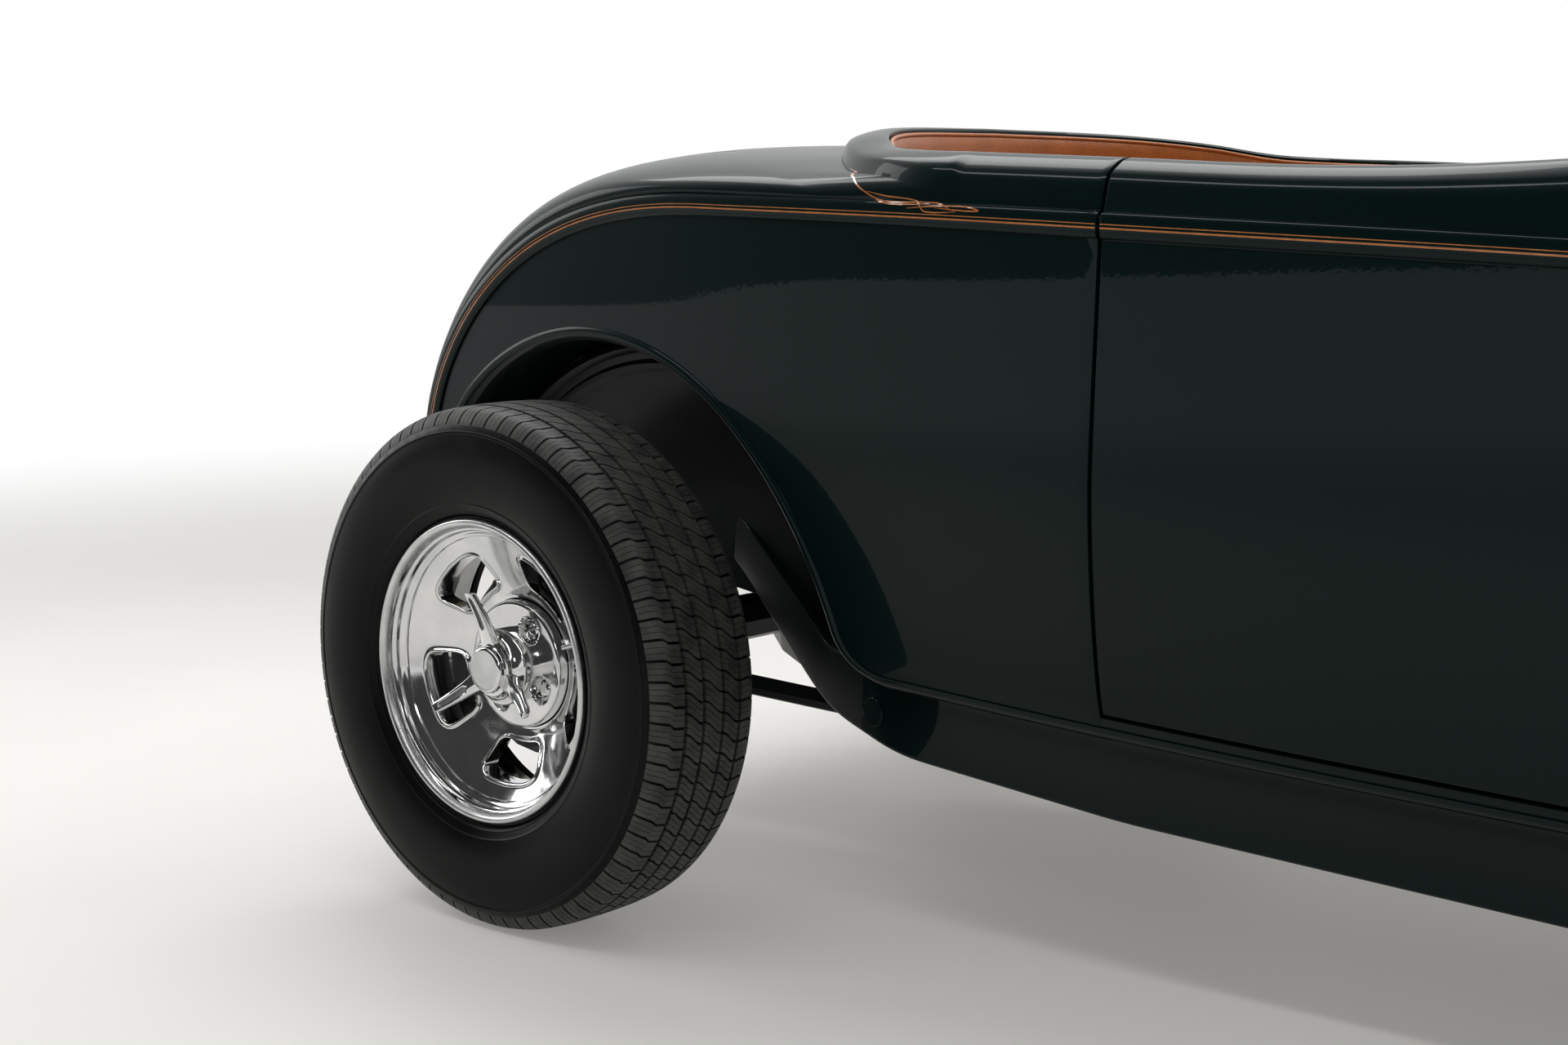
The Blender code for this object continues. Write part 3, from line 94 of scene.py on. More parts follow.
def newMaterial(name, colour, roughness, metallic=0.0, **shaderValues):
    made = bpy.data.materials.new(name)
    made.use_nodes = True
    tree = made.node_tree
    shader = tree.nodes["Principled BSDF"]
    shader.inputs["Base Color"].default_value = hexColour(colour)
    shader.inputs["Roughness"].default_value = roughness
    shader.inputs["Metallic"].default_value = metallic
    for key, value in shaderValues.items():
        shader.inputs[key.replace("_", " ")].default_value = value
    return made, tree, shader


def objectCoords(tree, scale):
    coords = addNode(tree, "ShaderNodeTexCoord")
    return addNode(tree, "ShaderNodeMapping", {0: coords.outputs["Object"], "Scale": (scale,) * 3}).outputs[0]


def noiseBump(tree, shader, perMetre, strength, depth, detail=3.0):    # fine relief, depth in metres
    spots = addNode(tree, "ShaderNodeTexNoise",
                    {"Vector": objectCoords(tree, 1.0), "Scale": perMetre, "Detail": detail})
    bump = addNode(tree, "ShaderNodeBump",
                   {"Height": spots.outputs[0], "Strength": strength, "Distance": depth})
    tree.links.new(bump.outputs[0], shader.inputs["Normal"])


def varied(tree, shader, colourA, colourB, perMetre):    # two tones mixed by a soft noise
    spots = addNode(tree, "ShaderNodeTexNoise",
                    {"Vector": objectCoords(tree, 1.0), "Scale": perMetre, "Detail": 4.0})
    ramp = addNode(tree, "ShaderNodeValToRGB", {0: spots.outputs[0]})
    ramp.color_ramp.elements[0].position = 0.35
    ramp.color_ramp.elements[0].color = hexColour(colourA)
    ramp.color_ramp.elements[1].position = 0.65
    ramp.color_ramp.elements[1].color = hexColour(colourB)
    tree.links.new(ramp.outputs[0], shader.inputs["Base Color"])


def roughVariation(tree, shader, perMetre, low, high):
    spots = addNode(tree, "ShaderNodeTexNoise",
                    {"Vector": objectCoords(tree, 1.0), "Scale": perMetre, "Detail": 5.0})
    span = addNode(tree, "ShaderNodeMapRange", {0: spots.outputs[0], 1: 0.3, 2: 0.7, 3: low, 4: high})
    tree.links.new(span.outputs[0], shader.inputs["Roughness"])


# Materials: each starts from what the real finish is
finish = {
    "paint": "041817", "paintDeep": "031212", "pinstripe": "b56f33", "leather": "b0611c",
    "leatherDeep": "8f4a10", "rubber": "141313", "rubberDust": "242423", "aluminium": "dcdddd",
    "chrome": "dcdddf", "satinSteel": "1b1c1d", "castIron": "3a3b3b", "lens": "a3100c", "glass": "e8f2ef",
    "gauge": "efe6cf", "carpet": "6e4219",
}

# Two-stage urethane car paint, very dark green: a metallic base under a clear coat that mirrors the room
paint, tree, shader = newMaterial("urethanePaintDarkGreen", finish["paint"], 0.34, 0.15,
                                  Specular_IOR_Level=0.05,
                                  Coat_Weight=0.24, Coat_Roughness=0.018, Coat_IOR=1.5)
# metallic flake, drawn coarser than life to show
varied(tree, shader, finish["paintDeep"], finish["paint"], 900.0)
orangePeel = addNode(tree, "ShaderNodeTexNoise",
                     {"Vector": objectCoords(tree, 1.0), "Scale": 150.0, "Detail": 1.0})
peelBump = addNode(tree, "ShaderNodeBump",
                   {"Height": orangePeel.outputs[0], "Strength": 0.02, "Distance": 0.0004})
tree.links.new(peelBump.outputs[0], shader.inputs["Coat Normal"])

# The same paint inside the wheel wells and on the chassis, over undercoat: flatter, with a coarse tooth; on
# the frame where it rises over the axle it is painted shade, dark where the wheel well shades the rail
wellPaintAndShade, tree, shader = newMaterial("chassisPaintSatinAndShade", "040d0c", 0.42, 0.0, Specular_IOR_Level=0.25,
                                      Coat_Weight=0.15, Coat_Roughness=0.2)
varied(tree, shader, "030909", "06100f", 30.0)
noiseBump(tree, shader, 420.0, 0.25, 0.0005)

# Sign writer's enamel, copper orange, hand pulled
pinstripe, tree, shader = newMaterial("enamelPinstripeCopper", finish["pinstripe"], 0.30, 0.0,
                                      Coat_Weight=0.8,
                                      Coat_Roughness=0.05)
varied(tree, shader, "9c5a26", finish["pinstripe"], 60.0)

# Saddle-tan cowhide, pigmented and semi-gloss: pebble grain about 1 mm, darker in the hollows
leather, tree, shader = newMaterial("leatherSaddleTan", finish["leather"], 0.40, 0.0, Specular_IOR_Level=0.45,
                                    Sheen_Weight=0.05)
grain = addNode(tree, "ShaderNodeTexVoronoi", {"Vector": objectCoords(tree, 1.0), "Scale": 520.0},
                feature="SMOOTH_F1")
wearSpots = addNode(tree, "ShaderNodeTexNoise",
                    {"Vector": objectCoords(tree, 1.0), "Scale": 22.0, "Detail": 5.0})
hide = addNode(tree, "ShaderNodeMath", {0: grain.outputs[0], 1: wearSpots.outputs[0]}, operation="MULTIPLY")
hideRamp = addNode(tree, "ShaderNodeValToRGB", {0: hide.outputs[0]})
hideRamp.color_ramp.elements[0].position, hideRamp.color_ramp.elements[1].position = 0.08, 0.34
hideRamp.color_ramp.elements[0].color = hexColour(finish["leather"])
hideRamp.color_ramp.elements[1].color = hexColour(finish["leatherDeep"])
tree.links.new(hideRamp.outputs[0], shader.inputs["Base Color"])
grainBump = addNode(tree, "ShaderNodeBump",
                    {"Height": grain.outputs[0], "Strength": 0.35, "Distance": 0.0006},
                    invert=True)
tree.links.new(grainBump.outputs[0], shader.inputs["Normal"])

# Wool loop carpet
carpet, tree, shader = newMaterial("woolCarpetTan", finish["carpet"], 0.95, 0.0, Sheen_Weight=0.4)
varied(tree, shader, "553012", "7d4c1f", 500.0)
noiseBump(tree, shader, 900.0, 0.9, 0.002, 2.0)

# Vulcanised tyre rubber: the sidewall moulded smooth and dressed, the tread matt and slightly dusty
rubber, tree, shader = newMaterial("rubberTyreSidewall", finish["rubber"], 0.36, 0.0, Specular_IOR_Level=0.12)
varied(tree, shader, "060606", "0c0b0b", 14.0)
roughVariation(tree, shader, 9.0, 0.28, 0.42)
noiseBump(tree, shader, 1400.0, 0.12, 0.0003)
treadRubber, tree, shader = newMaterial("rubberTyreTread", finish["rubberDust"], 0.55, 0.0,
                                        Specular_IOR_Level=0.4)
varied(tree, shader, "2a2a29", "41413f", 35.0)
noiseBump(tree, shader, 700.0, 0.3, 0.0004)

# Cast aluminium alloy, hand polished to a mirror with a trace of buffing haze
aluminium, tree, shader = newMaterial("aluminiumPolished", finish["aluminium"], 0.09, 1.0)
varied(tree, shader, "d2d3d4", "e2e2e1", 18.0)
roughVariation(tree, shader, 40.0, 0.06, 0.13)
noiseBump(tree, shader, 60.0, 0.05, 0.0008)
# The same alloy turned on a lathe: fine rings, satin
satinAluminium, tree, shader = newMaterial("aluminiumTurnedSatin", "cfd0d1", 0.30, 1.0)
varied(tree, shader, "c6c7c8", "d6d7d7", 30.0)
roughVariation(tree, shader, 25.0, 0.26, 0.38)
noiseBump(tree, shader, 1800.0, 0.12, 0.0002)
# Darker grey, half-metallic finish in the sunk slots of the spinner
slotGrey, tree, shader = newMaterial("slotFinishDarkGrey", "8d8f90", 0.4, 0.6)
varied(tree, shader, "808283", "999b9c", 80.0)

# Nickel-chrome plate
chrome, tree, shader = newMaterial("chromePlate", finish["chrome"], 0.05, 1.0)
varied(tree, shader, "d3d5d8", "e1e2e3", 12.0)
roughVariation(tree, shader, 15.0, 0.03, 0.09)
# Stainless tube, brushed along its length and gone straw-coloured by heat
stainless, tree, shader = newMaterial("stainlessExhaust", "b9b3a8", 0.22, 1.0)
varied(tree, shader, "a99d8a", "c4c1bb", 9.0)
roughVariation(tree, shader, 60.0, 0.17, 0.30)

# Powder-coated steel, satin black
blackSteel, tree, shader = newMaterial("steelPowderCoatBlack", finish["satinSteel"], 0.38)
varied(tree, shader, "151617", "202122", 20.0)
noiseBump(tree, shader, 900.0, 0.2, 0.0003)
# Grey iron castings, sprayed
castIron, tree, shader = newMaterial("castIronSprayed", finish["castIron"], 0.55, 0.3)
noiseBump(tree, shader, 500.0, 0.5, 0.0008)
varied(tree, shader, "303131", finish["castIron"], 60.0)

# Float glass, slightly green
glass, tree, shader = newMaterial("floatGlass", finish["glass"], 0.02, 0.0, IOR=1.52, Transmission_Weight=1.0)
varied(tree, shader, "e0efe9", "eef6f3", 2.0)
roughVariation(tree, shader, 5.0, 0.0, 0.03)
# Moulded acrylic lens, ruby red, pressed with small flutes
redLens, tree, shader = newMaterial("acrylicLensRed", finish["lens"], 0.12, 0.0, IOR=1.49, Coat_Weight=0.5)
varied(tree, shader, "7d0a08", "b5160f", 120.0)
noiseBump(tree, shader, 300.0, 0.3, 0.0006)
# Enamelled dial face
dialFace, tree, shader = newMaterial("enamelDialCream", finish["gauge"], 0.35)
varied(tree, shader, "e6dcc2", finish["gauge"], 90.0)
# Copper core of the radiator, painted black
radiatorCore, tree, shader = newMaterial("radiatorFinsBlack", "101112", 0.5, 0.4)
varied(tree, shader, "0c0d0d", "17181a", 40.0)
fins = addNode(tree, "ShaderNodeTexWave", {"Vector": objectCoords(tree, 1.0), "Scale": 120.0},
               bands_direction="Y")
finBump = addNode(tree, "ShaderNodeBump", {"Height": fins.outputs[0], "Strength": 0.9, "Distance": 0.002})
tree.links.new(finBump.outputs[0], shader.inputs["Normal"])
print("stage: materials made")


# Mesh helpers

def newPiece(name, bm, material, body, place=None, smoothDeg=32):
    if place is not None:
        bmesh.ops.transform(bm, matrix=place, verts=bm.verts[:])
    mesh = bpy.data.meshes.new(name)
    bm.to_mesh(mesh)
    bm.free()
    made = bpy.data.objects.new(name, mesh)
    bpy.context.scene.collection.objects.link(made)
    for one in material if isinstance(material, (list, tuple)) else (material,):
        mesh.materials.append(one)
    mesh.shade_smooth()
    mesh.set_sharp_from_angle(angle=radians(smoothDeg))
    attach(made, body)
    return made


def addModifier(target, kind, **settings):
    made = target.modifiers.new(kind.title(), kind)
    for key, value in settings.items():
        setattr(made, key, value)
    return made


def addGrid(bm, rows, closed=False):    # a sheet of quads through rows of points
    verts = [[bm.verts.new(point) for point in row] for row in rows]
    pairs = list(zip(verts, verts[1:] + verts[:1])) if closed else list(zip(verts, verts[1:]))
    for low, high in pairs:
        for i in range(len(low) - 1):
            corners = (low[i], low[i + 1], high[i + 1], high[i])
            if len({tuple(round(c, 6) for c in v.co) for v in corners}) > 2:
                bm.faces.new(corners)


def turnedRows(profile, steps):    # profile points (radius, height) turned about Z
    rows = []
    for k in range(steps):
        a = 2 * pi * k / steps
        rows.append([Vector((r * cos(a), r * sin(a), h)) for r, h in profile])
    return rows


def weld(bm, dist=0.00002):
    bmesh.ops.remove_doubles(bm, verts=bm.verts[:], dist=dist)


def pointOut(bm, inside):
    bmesh.ops.recalc_face_normals(bm, faces=bm.faces[:])
    bm.normal_update()
    lean = sum(f.normal.dot(f.calc_center_median() - Vector(inside)) * f.calc_area() for f in bm.faces)
    if lean < 0:
        bmesh.ops.reverse_faces(bm, faces=bm.faces[:])


def addTube(bm, points, radius, sides=12, cyclic=False, slot=0):    # a swept round bar
    count = len(points)
    rings = []
    up = Vector((0, 0, 1))
    for i, point in enumerate(points):
        before = points[i - 1] if i or cyclic else points[i]
        after = points[(i + 1) % count] if i < count - 1 or cyclic else points[i]
        along = (Vector(after) - Vector(before)).normalized()
        across = along.cross(up)
        if across.length < 0.05:
            across = along.cross(Vector((1, 0, 0)))
        across.normalize()
        lift = across.cross(along).normalized()
        r = radius[i] if isinstance(radius, (list, tuple)) else radius
        rings.append([Vector(point) + r * (cos(2 * pi * k / sides) * across + sin(2 * pi * k / sides) * lift)
                      for k in range(sides)])
    verts = [[bm.verts.new(p) for p in ring] for ring in rings]
    pairs = list(zip(verts, verts[1:]))
    if cyclic:
        pairs.append((verts[-1], verts[0]))
    for low, high in pairs:
        for k in range(sides):
            face = bm.faces.new((low[k], low[(k + 1) % sides], high[(k + 1) % sides], high[k]))
            face.material_index = slot
    if not cyclic:
        for ring in (verts[0][::-1], verts[-1]):
            bm.faces.new(ring).material_index = slot


def addBox(bm, low, high, place):
    corners = [Vector((x, y, z)) for x in (low[0], high[0]) for y in (low[1], high[1])
               for z in (low[2], high[2])]
    v = [bm.verts.new(place @ c) for c in corners]
    for quad in ((0, 1, 3, 2), (4, 6, 7, 5), (0, 4, 5, 1), (2, 3, 7, 6), (0, 2, 6, 4), (1, 5, 7, 3)):
        bm.faces.new([v[i] for i in quad])


# The body's curves, the same as the CAD source's, in the tipped frame

def smoothTable(table):
    xs = [row[0] for row in table]
    ys = [row[1] for row in table]
    slopes = []
    for i in range(len(xs)):
        low, high = max(0, i - 1), min(len(xs) - 1, i + 1)
        slopes.append((ys[high] - ys[low]) / (xs[high] - xs[low]))

    def value(x):
        if x <= xs[0]:
            return ys[0] + slopes[0] * (x - xs[0])
        if x >= xs[-1]:
            return ys[-1] + slopes[-1] * (x - xs[-1])
        i = max(k for k in range(len(xs) - 1) if xs[k] <= x)
        step = xs[i + 1] - xs[i]
        t = (x - xs[i]) / step
        return ((2 * t ** 3 - 3 * t ** 2 + 1) * ys[i] + (t ** 3 - 2 * t ** 2 + t) * step * slopes[i]
                + (3 * t ** 2 - 2 * t ** 3) * ys[i + 1] + (t ** 3 - t ** 2) * step * slopes[i + 1])
    return value


shutX, sillZ, foldZ = car["shutX"], car["sillZ"], car["foldZ"]
beltTopZ, railZ, gap = car["beltTopZ"], car["railZ"], car["shutGap"]
# Half width by distance ahead of the rear axle
halfWidth = smoothTable((
    (-0.50, 0.548), (-0.25, 0.574), (0.0, 0.596), (0.30, 0.618), (0.60, 0.629), (shutX, 0.633),
    (1.25, 0.618), (frontX, 0.578), (firewallX, 0.500), (firewallX + 0.5 * car["hoodLength"], 0.405),
    (shellX, 0.312)))
# How far the skin lies inside that width, by height
tuckIn = smoothTable((
    (sillZ, 0.070), (foldZ, 0.054), (0.51, 0.038), (0.59, 0.022), (0.67, 0.010), (0.75, 0.002),
    (0.85, 0.0), (0.95, 0.0), (1.20, 0.0)))
beltHeight = smoothTable((
    (sweep["x"], beltTopZ - 0.002), (0.60, beltTopZ), (shutX, beltTopZ - 0.001), (1.45, beltTopZ - 0.006),
    (firewallX, beltTopZ - 0.018), (shellX, beltTopZ - 0.045)))
railHeight = smoothTable((
    (lipSize["sideX"], railZ + 0.001), (shutX, railZ - 0.001), (1.10, railZ - 0.0035), (1.25, railZ - 0.001),
    (1.375, railZ + 0.006), (1.50, railZ + 0.016), (frontX, railZ + 0.026)))
hoodFoot = smoothTable(((firewallX, 0.455), (firewallX + 0.5 * car["hoodLength"], 0.490), (shellX, 0.560)))
cowlTop = smoothTable(((frontX, railZ + 0.034), (firewallX, 1.142),
                       (firewallX + 0.5 * car["hoodLength"], 1.125), (shellX, 1.092)))


def spow(value, power):
    return copysign(abs(value) ** power, value)


def beltCurve(u):    # u >= 0: metres ahead of the sweep; u < 0: share of the sweep
    if u >= 0:
        return Vector((sweep["x"] + u, beltHeight(sweep["x"] + u)))
    turn = -u * pi / 2
    rise = beltHeight(sweep["x"]) - sweep["foot"]
    return Vector((sweep["x"] - sweep["back"] * spow(sin(turn), 2 / sweep["power"]),
                   sweep["foot"] + rise * spow(cos(turn), 2 / sweep["power"])))


def beltNormal(u):
    low, high = beltCurve(max(-1.0, u - 0.01)), beltCurve(u + 0.01)
    along = (high - low).normalized()
    return Vector((-along.y, along.x))


def skinY(x, z):
    return halfWidth(x) - tuckIn(z)


beltAcross = (-1.0, -0.93, -0.82, -0.65, -0.4, -0.1, 0.2, 0.5, 0.72, 0.88, 1.0)


def beltSpot(u, across, lift=0.0):    # a point on the raised belt; across runs from -1, low, to 1, high
    spot = beltCurve(u) + across * car["beltHalf"] * beltNormal(u)
    proud = car["beltProud"] * max(0.0, 1 - across ** 4) ** 0.5
    return Vector((spot.x, skinY(spot.x, spot.y) + proud + lift, spot.y))


def beltPoints(u):
    return [beltSpot(u, across) for across in beltAcross]


deckU = deck["frontX"] - sweep["x"]


def deckCentre(u):
    turn = (deckU - u) / (deckU + 1.0) * pi / 2
    return Vector((deck["x"] - deck["back"] * spow(sin(turn), 2 / deck["power"]),
                   deck["foot"] + (deck["topZ"] - deck["foot"]) * spow(cos(turn), 2 / deck["power"])))


def deckPoint(u, s):    # deck and tail skin; s runs from the belt, 0, to the centre line, 1
    edge = beltSpot(u, 1.0)
    centre = deckCentre(u)
    crown = deck["crown"] - max(0.0, -u) * (deck["crown"] - deck["tailCrown"])
    inward = sin(s * pi / 2) ** (2 / crown) if s > 0 else 0.0
    outward = max(0.0, cos(s * pi / 2)) ** (2 / crown) if s < 1 else 0.0
    return Vector((edge.x + (centre.x - edge.x) * inward, edge.y * outward,
                   edge.z + (centre.y - edge.z) * inward))


lipHeight = smoothTable(((0.0, railZ + 0.001), (0.15, 1.1475), (0.30, 1.1515), (0.45, 1.166), (0.60, 1.175),
                         (0.75, 1.179), (1.0, lipSize["backZ"])))


def lipPoint(s):    # inner edge of the rear coaming; s is 0 at the straight side, 1 on the centre line
    turn = s * pi / 2
    side = halfWidth(lipSize["sideX"]) - car["lipIn"]
    return Vector((lipSize["sideX"] - (lipSize["sideX"] - lipSize["backX"]) * sin(turn),
                   side * max(0.0, cos(turn)),
                   lipHeight(s)))


# Coaming roll: share of its width outside the lip, and drop as a share of its height
rollRows = ((1.0, 1.0), (0.97, 0.78), (0.92, 0.50), (0.86, 0.34), (0.77, 0.235), (0.65, 0.16), (0.55, 0.095),
            (0.44, 0.045), (0.32, 0.012), (0.20, 0.0), (0.10, 0.012), (0.03, 0.045), (0.0, 0.10))


def coamingColumn(lip, top, valley, outward):
    column = []
    for share, drop in rollRows:
        spot = lip + outward * (lipSize["rollWidth"] * share)
        column.append(Vector((spot.x, spot.y, top - (top - valley) * drop)))
    last = column[-1]
    column.append(Vector((last.x, last.y, last.z - 0.022)))
    return column


def spread(low, high, count):
    return [low + (high - low) * k / count for k in range(count + 1)]


def mirrored(bm):    # the right half from the left
    bmesh.ops.mirror(bm, geom=bm.verts[:] + bm.edges[:] + bm.faces[:], axis="Y", merge_dist=0.00005)


def skinPiece(name, bm, material, body, thick, bevel=0.0012):    # an outer skin given its depth inward
    made = newPiece(name, bm, material, body, tipped, 30)
    addModifier(made, "SOLIDIFY", thickness=thick, offset=-1.0)
    if bevel:
        addModifier(made, "BEVEL", width=bevel, segments=2, limit_method="ANGLE", angle_limit=radians(48),
                    harden_normals=False)
    return made


# Rear quarter: from the sill round a corner into the wheel arch, and back to the tail
panelLook = {"thick": 0.016, "cornerR": 0.090, "bead": 0.0042, "beadHalf": 0.0075, "archTo": 172.0}
cornerZ = sillZ + panelLook["cornerR"]
reachR = arch["radius"] + panelLook["cornerR"]
cornerStart = math.asin((cornerZ - arch["z"]) / reachR)
cornerX = arch["x"] + reachR * cos(cornerStart)


def archFeet():    # foot point, outward direction and belt position of every upright line
    feet = []
    for x in spread(shutX - gap / 2, cornerX + 0.012, 20):
        feet.append((Vector((x, sillZ)), Vector((0, 1)), x - sweep["x"]))
    endU = deckU + 0.035
    for k, turn in enumerate(spread(radians(90), cornerStart, 14)):
        way = Vector((cos(turn), sin(turn)))
        foot = Vector((cornerX, cornerZ)) - panelLook["cornerR"] * way
        feet.append((foot, way, cornerX - sweep["x"] + (endU - cornerX + sweep["x"]) * k / 14))
    for turn in spread(cornerStart, radians(panelLook["archTo"]), 84)[1:]:
        share = (turn - cornerStart) / (radians(panelLook["archTo"]) - cornerStart)
        split = 0.32
        u = endU * (1 - share / split) if share < split else -(share - split) / (1 - split)
        way = Vector((cos(turn), sin(turn)))
        # straight down at the back
        radius = min(arch["radius"], arch["drop"] / abs(way.x)) if way.x < 0 else arch["radius"]
        feet.append((Vector((arch["x"], arch["z"])) + radius * way, way, u))
    return feet


def quarterColumn(foot, way, u):
    belt = beltPoints(u)
    top = Vector((belt[0].x, belt[0].z))
    room = (top - foot).length
    bead = panelLook["bead"] * min(1.0, room / 0.06)
    wide = 2 * panelLook["beadHalf"] * min(1.0, room / 0.06)
    edgeY = skinY(foot.x, foot.y)
    column = [Vector((foot.x - 0.006 * way.x, y, foot.y - 0.006 * way.y))
              for y in spread(arch["wellY"], edgeY - 0.012, 5)]
    for k in range(9):    # half-round bead along the edge
        turn = pi * k / 8
        spot = foot + way * (0.5 * wide * (1 - cos(turn)) - (0.003 if k == 0 else 0))
        column.append(Vector((spot.x, skinY(spot.x, spot.y) + bead * sin(turn) - (0.004 if k == 0 else 0),
                              spot.y)))
    start = foot + way * (wide + 0.002)
    for share in spread(0.0, 1.0, 22)[:-1]:
        spot = start.lerp(top, share)
        column.append(Vector((spot.x, skinY(spot.x, spot.y), spot.y)))
    return column + belt


# Lid edges on the deck's own grid: share across, and belt position of the front and rear edge
lidEdge = {"s": 0.60, "front": deckU * (1 - 2 / 14 / 0.35), "rear": -(11 / 14 - 0.35) / 0.65}
feet = archFeet()
quarter = [(u, quarterColumn(foot, way, u)) for foot, way, u in feet]
sList = sorted(set([0.0, 0.012, 0.03, 0.05] + spread(0.08, lidEdge["s"], 12) + spread(lidEdge["s"], 1.0, 12)))


def deckRowsFor(low, high, count, shares):
    return [[deckPoint(u, s) for s in shares] for u in spread(low, high, count)]


lowShares = [s for s in sList if s <= lidEdge["s"] + 1e-6]
highShares = [s for s in sList if s >= lidEdge["s"] - 1e-6]


def makeRearBody():
    bm = bmesh.new()
    addGrid(bm, [column for u, column in quarter])
    us = spread(deckU, lidEdge["front"], 6) + spread(lidEdge["front"], 0.0, 8)[1:] + \
        spread(0.0, lidEdge["rear"], 44)[1:] + spread(lidEdge["rear"], -1.0, 20)[1:]
    addGrid(bm, [[deckPoint(u, s) for s in lowShares] for u in us])
    addGrid(bm, deckRowsFor(deckU, lidEdge["front"], 6, highShares))
    addGrid(bm, deckRowsFor(lidEdge["rear"], -1.0, 20, highShares))
    # Coaming: along the deck's front edge from the centre line, then along the cockpit side
    strip = []
    straight = halfWidth(lipSize["sideX"]) - car["lipIn"]
    for s in reversed(sList):
        base = deckPoint(deckU, s)
        lip = lipPoint(s)
        outward = Vector((-sin(s * pi / 2) / (lipSize["sideX"] - lipSize["backX"]),
                          cos(s * pi / 2) / straight, 0))
        valley = min(lip.z - 0.034, base.z + 0.012 - 0.020 * s)
        strip.append([base] + coamingColumn(lip, lip.z, valley, outward.normalized()))
    for x in spread(deck["frontX"], shutX - gap / 2, 24)[1:]:
        base = beltSpot(x - sweep["x"], 1.0)
        back, front = deck["frontX"], shutX - gap / 2
        lipX = lipSize["sideX"] + (front - lipSize["sideX"]) * (x - back) / (front - back)
        lip = Vector((lipX, halfWidth(lipX) - car["lipIn"], 0))
        strip.append([base] + coamingColumn(lip, railHeight(lipX), base.z + 0.001, Vector((0, 1, 0))))
    addGrid(bm, strip)
    weld(bm, 0.0006)
    mirrored(bm)
    pointOut(bm, (0.0, 0.0, 0.8))
    made = skinPiece("bodyRear", bm, paint, "chassis", panelLook["thick"])
    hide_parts("rear_body")


def makeDeckLid():
    uLow, uHigh = lidEdge["front"], lidEdge["rear"]
    stepU = gap / (deckPoint(uLow, 0.9) - deckPoint(uLow - 0.001, 0.9)).length * 0.001
    stepUEnd = gap / (deckPoint(uHigh, 0.9) - deckPoint(uHigh + 0.001, 0.9)).length * 0.001
    rows = []
    for u in spread(uLow - stepU, uHigh + stepUEnd, 60):
        stepS = gap / (deckPoint(u, lidEdge["s"]) - deckPoint(u, lidEdge["s"] + 0.001)).length * 0.001
        rows.append([deckPoint(u, s) for s in [lidEdge["s"] + stepS] + highShares[1:]])
    bm = bmesh.new()
    addGrid(bm, rows)
    mirrored(bm)
    pointOut(bm, (0.0, 0.0, 0.8))
    made = skinPiece("bodyDeckLid", bm, paint, "deck_lid", panelLook["thick"])
    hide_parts("deck_lid")


makeRearBody()
makeDeckLid()
print("stage: rear body")


# Doors: closed sections lofted along the body
doorThick = 0.050


def sideLoop(x, thick):
    loop = [Vector((x, skinY(x, z), z)) for z in spread(foldZ + gap, 1.02, 18)]
    loop += beltPoints(x - sweep["x"])
    y, height = halfWidth(x), railHeight(x)
    low = loop[-1].z + 0.001
    for share, drop in rollRows[1:]:
        loop.append(Vector((x, y - car["lipIn"] + lipSize["rollWidth"] * share,
                            height - (height - low) * drop)))
    inner = y - car["lipIn"] - 0.001
    loop.append(Vector((x, inner, height - 0.030)))
    loop.append(Vector((x, y - thick, height - 0.060)))
    for z in [1.02, 0.90, 0.75, 0.62, 0.51, loop[0].z]:
        loop.append(Vector((x, skinY(x, z) - thick, z)))
    return loop


def closedLoft(bm, loops):
    verts = [[bm.verts.new(p) for p in loop] for loop in loops]
    count = len(loops[0])
    for low, high in zip(verts, verts[1:]):
        for k in range(count):
            bm.faces.new((low[k], low[(k + 1) % count], high[(k + 1) % count], high[k]))
    bm.faces.new(verts[0][::-1])
    bm.faces.new(verts[-1])
    bmesh.ops.recalc_face_normals(bm, faces=bm.faces[:])


def flipY(loop, side):
    return [Vector((p.x, p.y * side, p.z)) for p in loop]


def makeDoor(word, side):
    xs = spread(shutX + gap / 2, frontX - gap / 2, 30)
    bm = bmesh.new()
    closedLoft(bm, [flipY(sideLoop(x, doorThick), side) for x in xs])
    made = newPiece("bodyDoor_" + word, bm, paint, "door_" + word, tipped, 35)
    addModifier(made, "BEVEL", width=0.0014, segments=2, limit_method="ANGLE", angle_limit=radians(60))
    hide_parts("door_" + word)


for side, word in ((1, "left"), (-1, "right")):
    makeDoor(word, side)


# Cowl, hood and grille shell
cowlThick = 0.022


def archOver(x, base, top, count):    # from the belt's upper edge to the centre line
    points = []
    for k in range(1, count + 1):
        turn = k / count * pi / 2
        points.append(Vector((x, base.y * max(0.0, cos(turn)) ** 0.8,
                              base.z + (top - base.z) * sin(turn) ** 0.8)))
    return points


def cowlLoop(x, inner):
    points = [Vector((x, skinY(x, z), z)) for z in spread(0.420, 1.02, 18)] + beltPoints(x - sweep["x"])
    points += archOver(x, points[-1], cowlTop(x), 28)
    if not inner:
        return points
    moved = []
    for i, p in enumerate(points):
        along = (points[min(len(points) - 1, i + 1)] - points[max(0, i - 1)]).normalized()
        spot = p + Vector((0, -along.z, along.y)) * cowlThick
        moved.append(Vector((x, max(0.0, spot.y), spot.z)))
    moved[0].z = points[0].z
    return moved


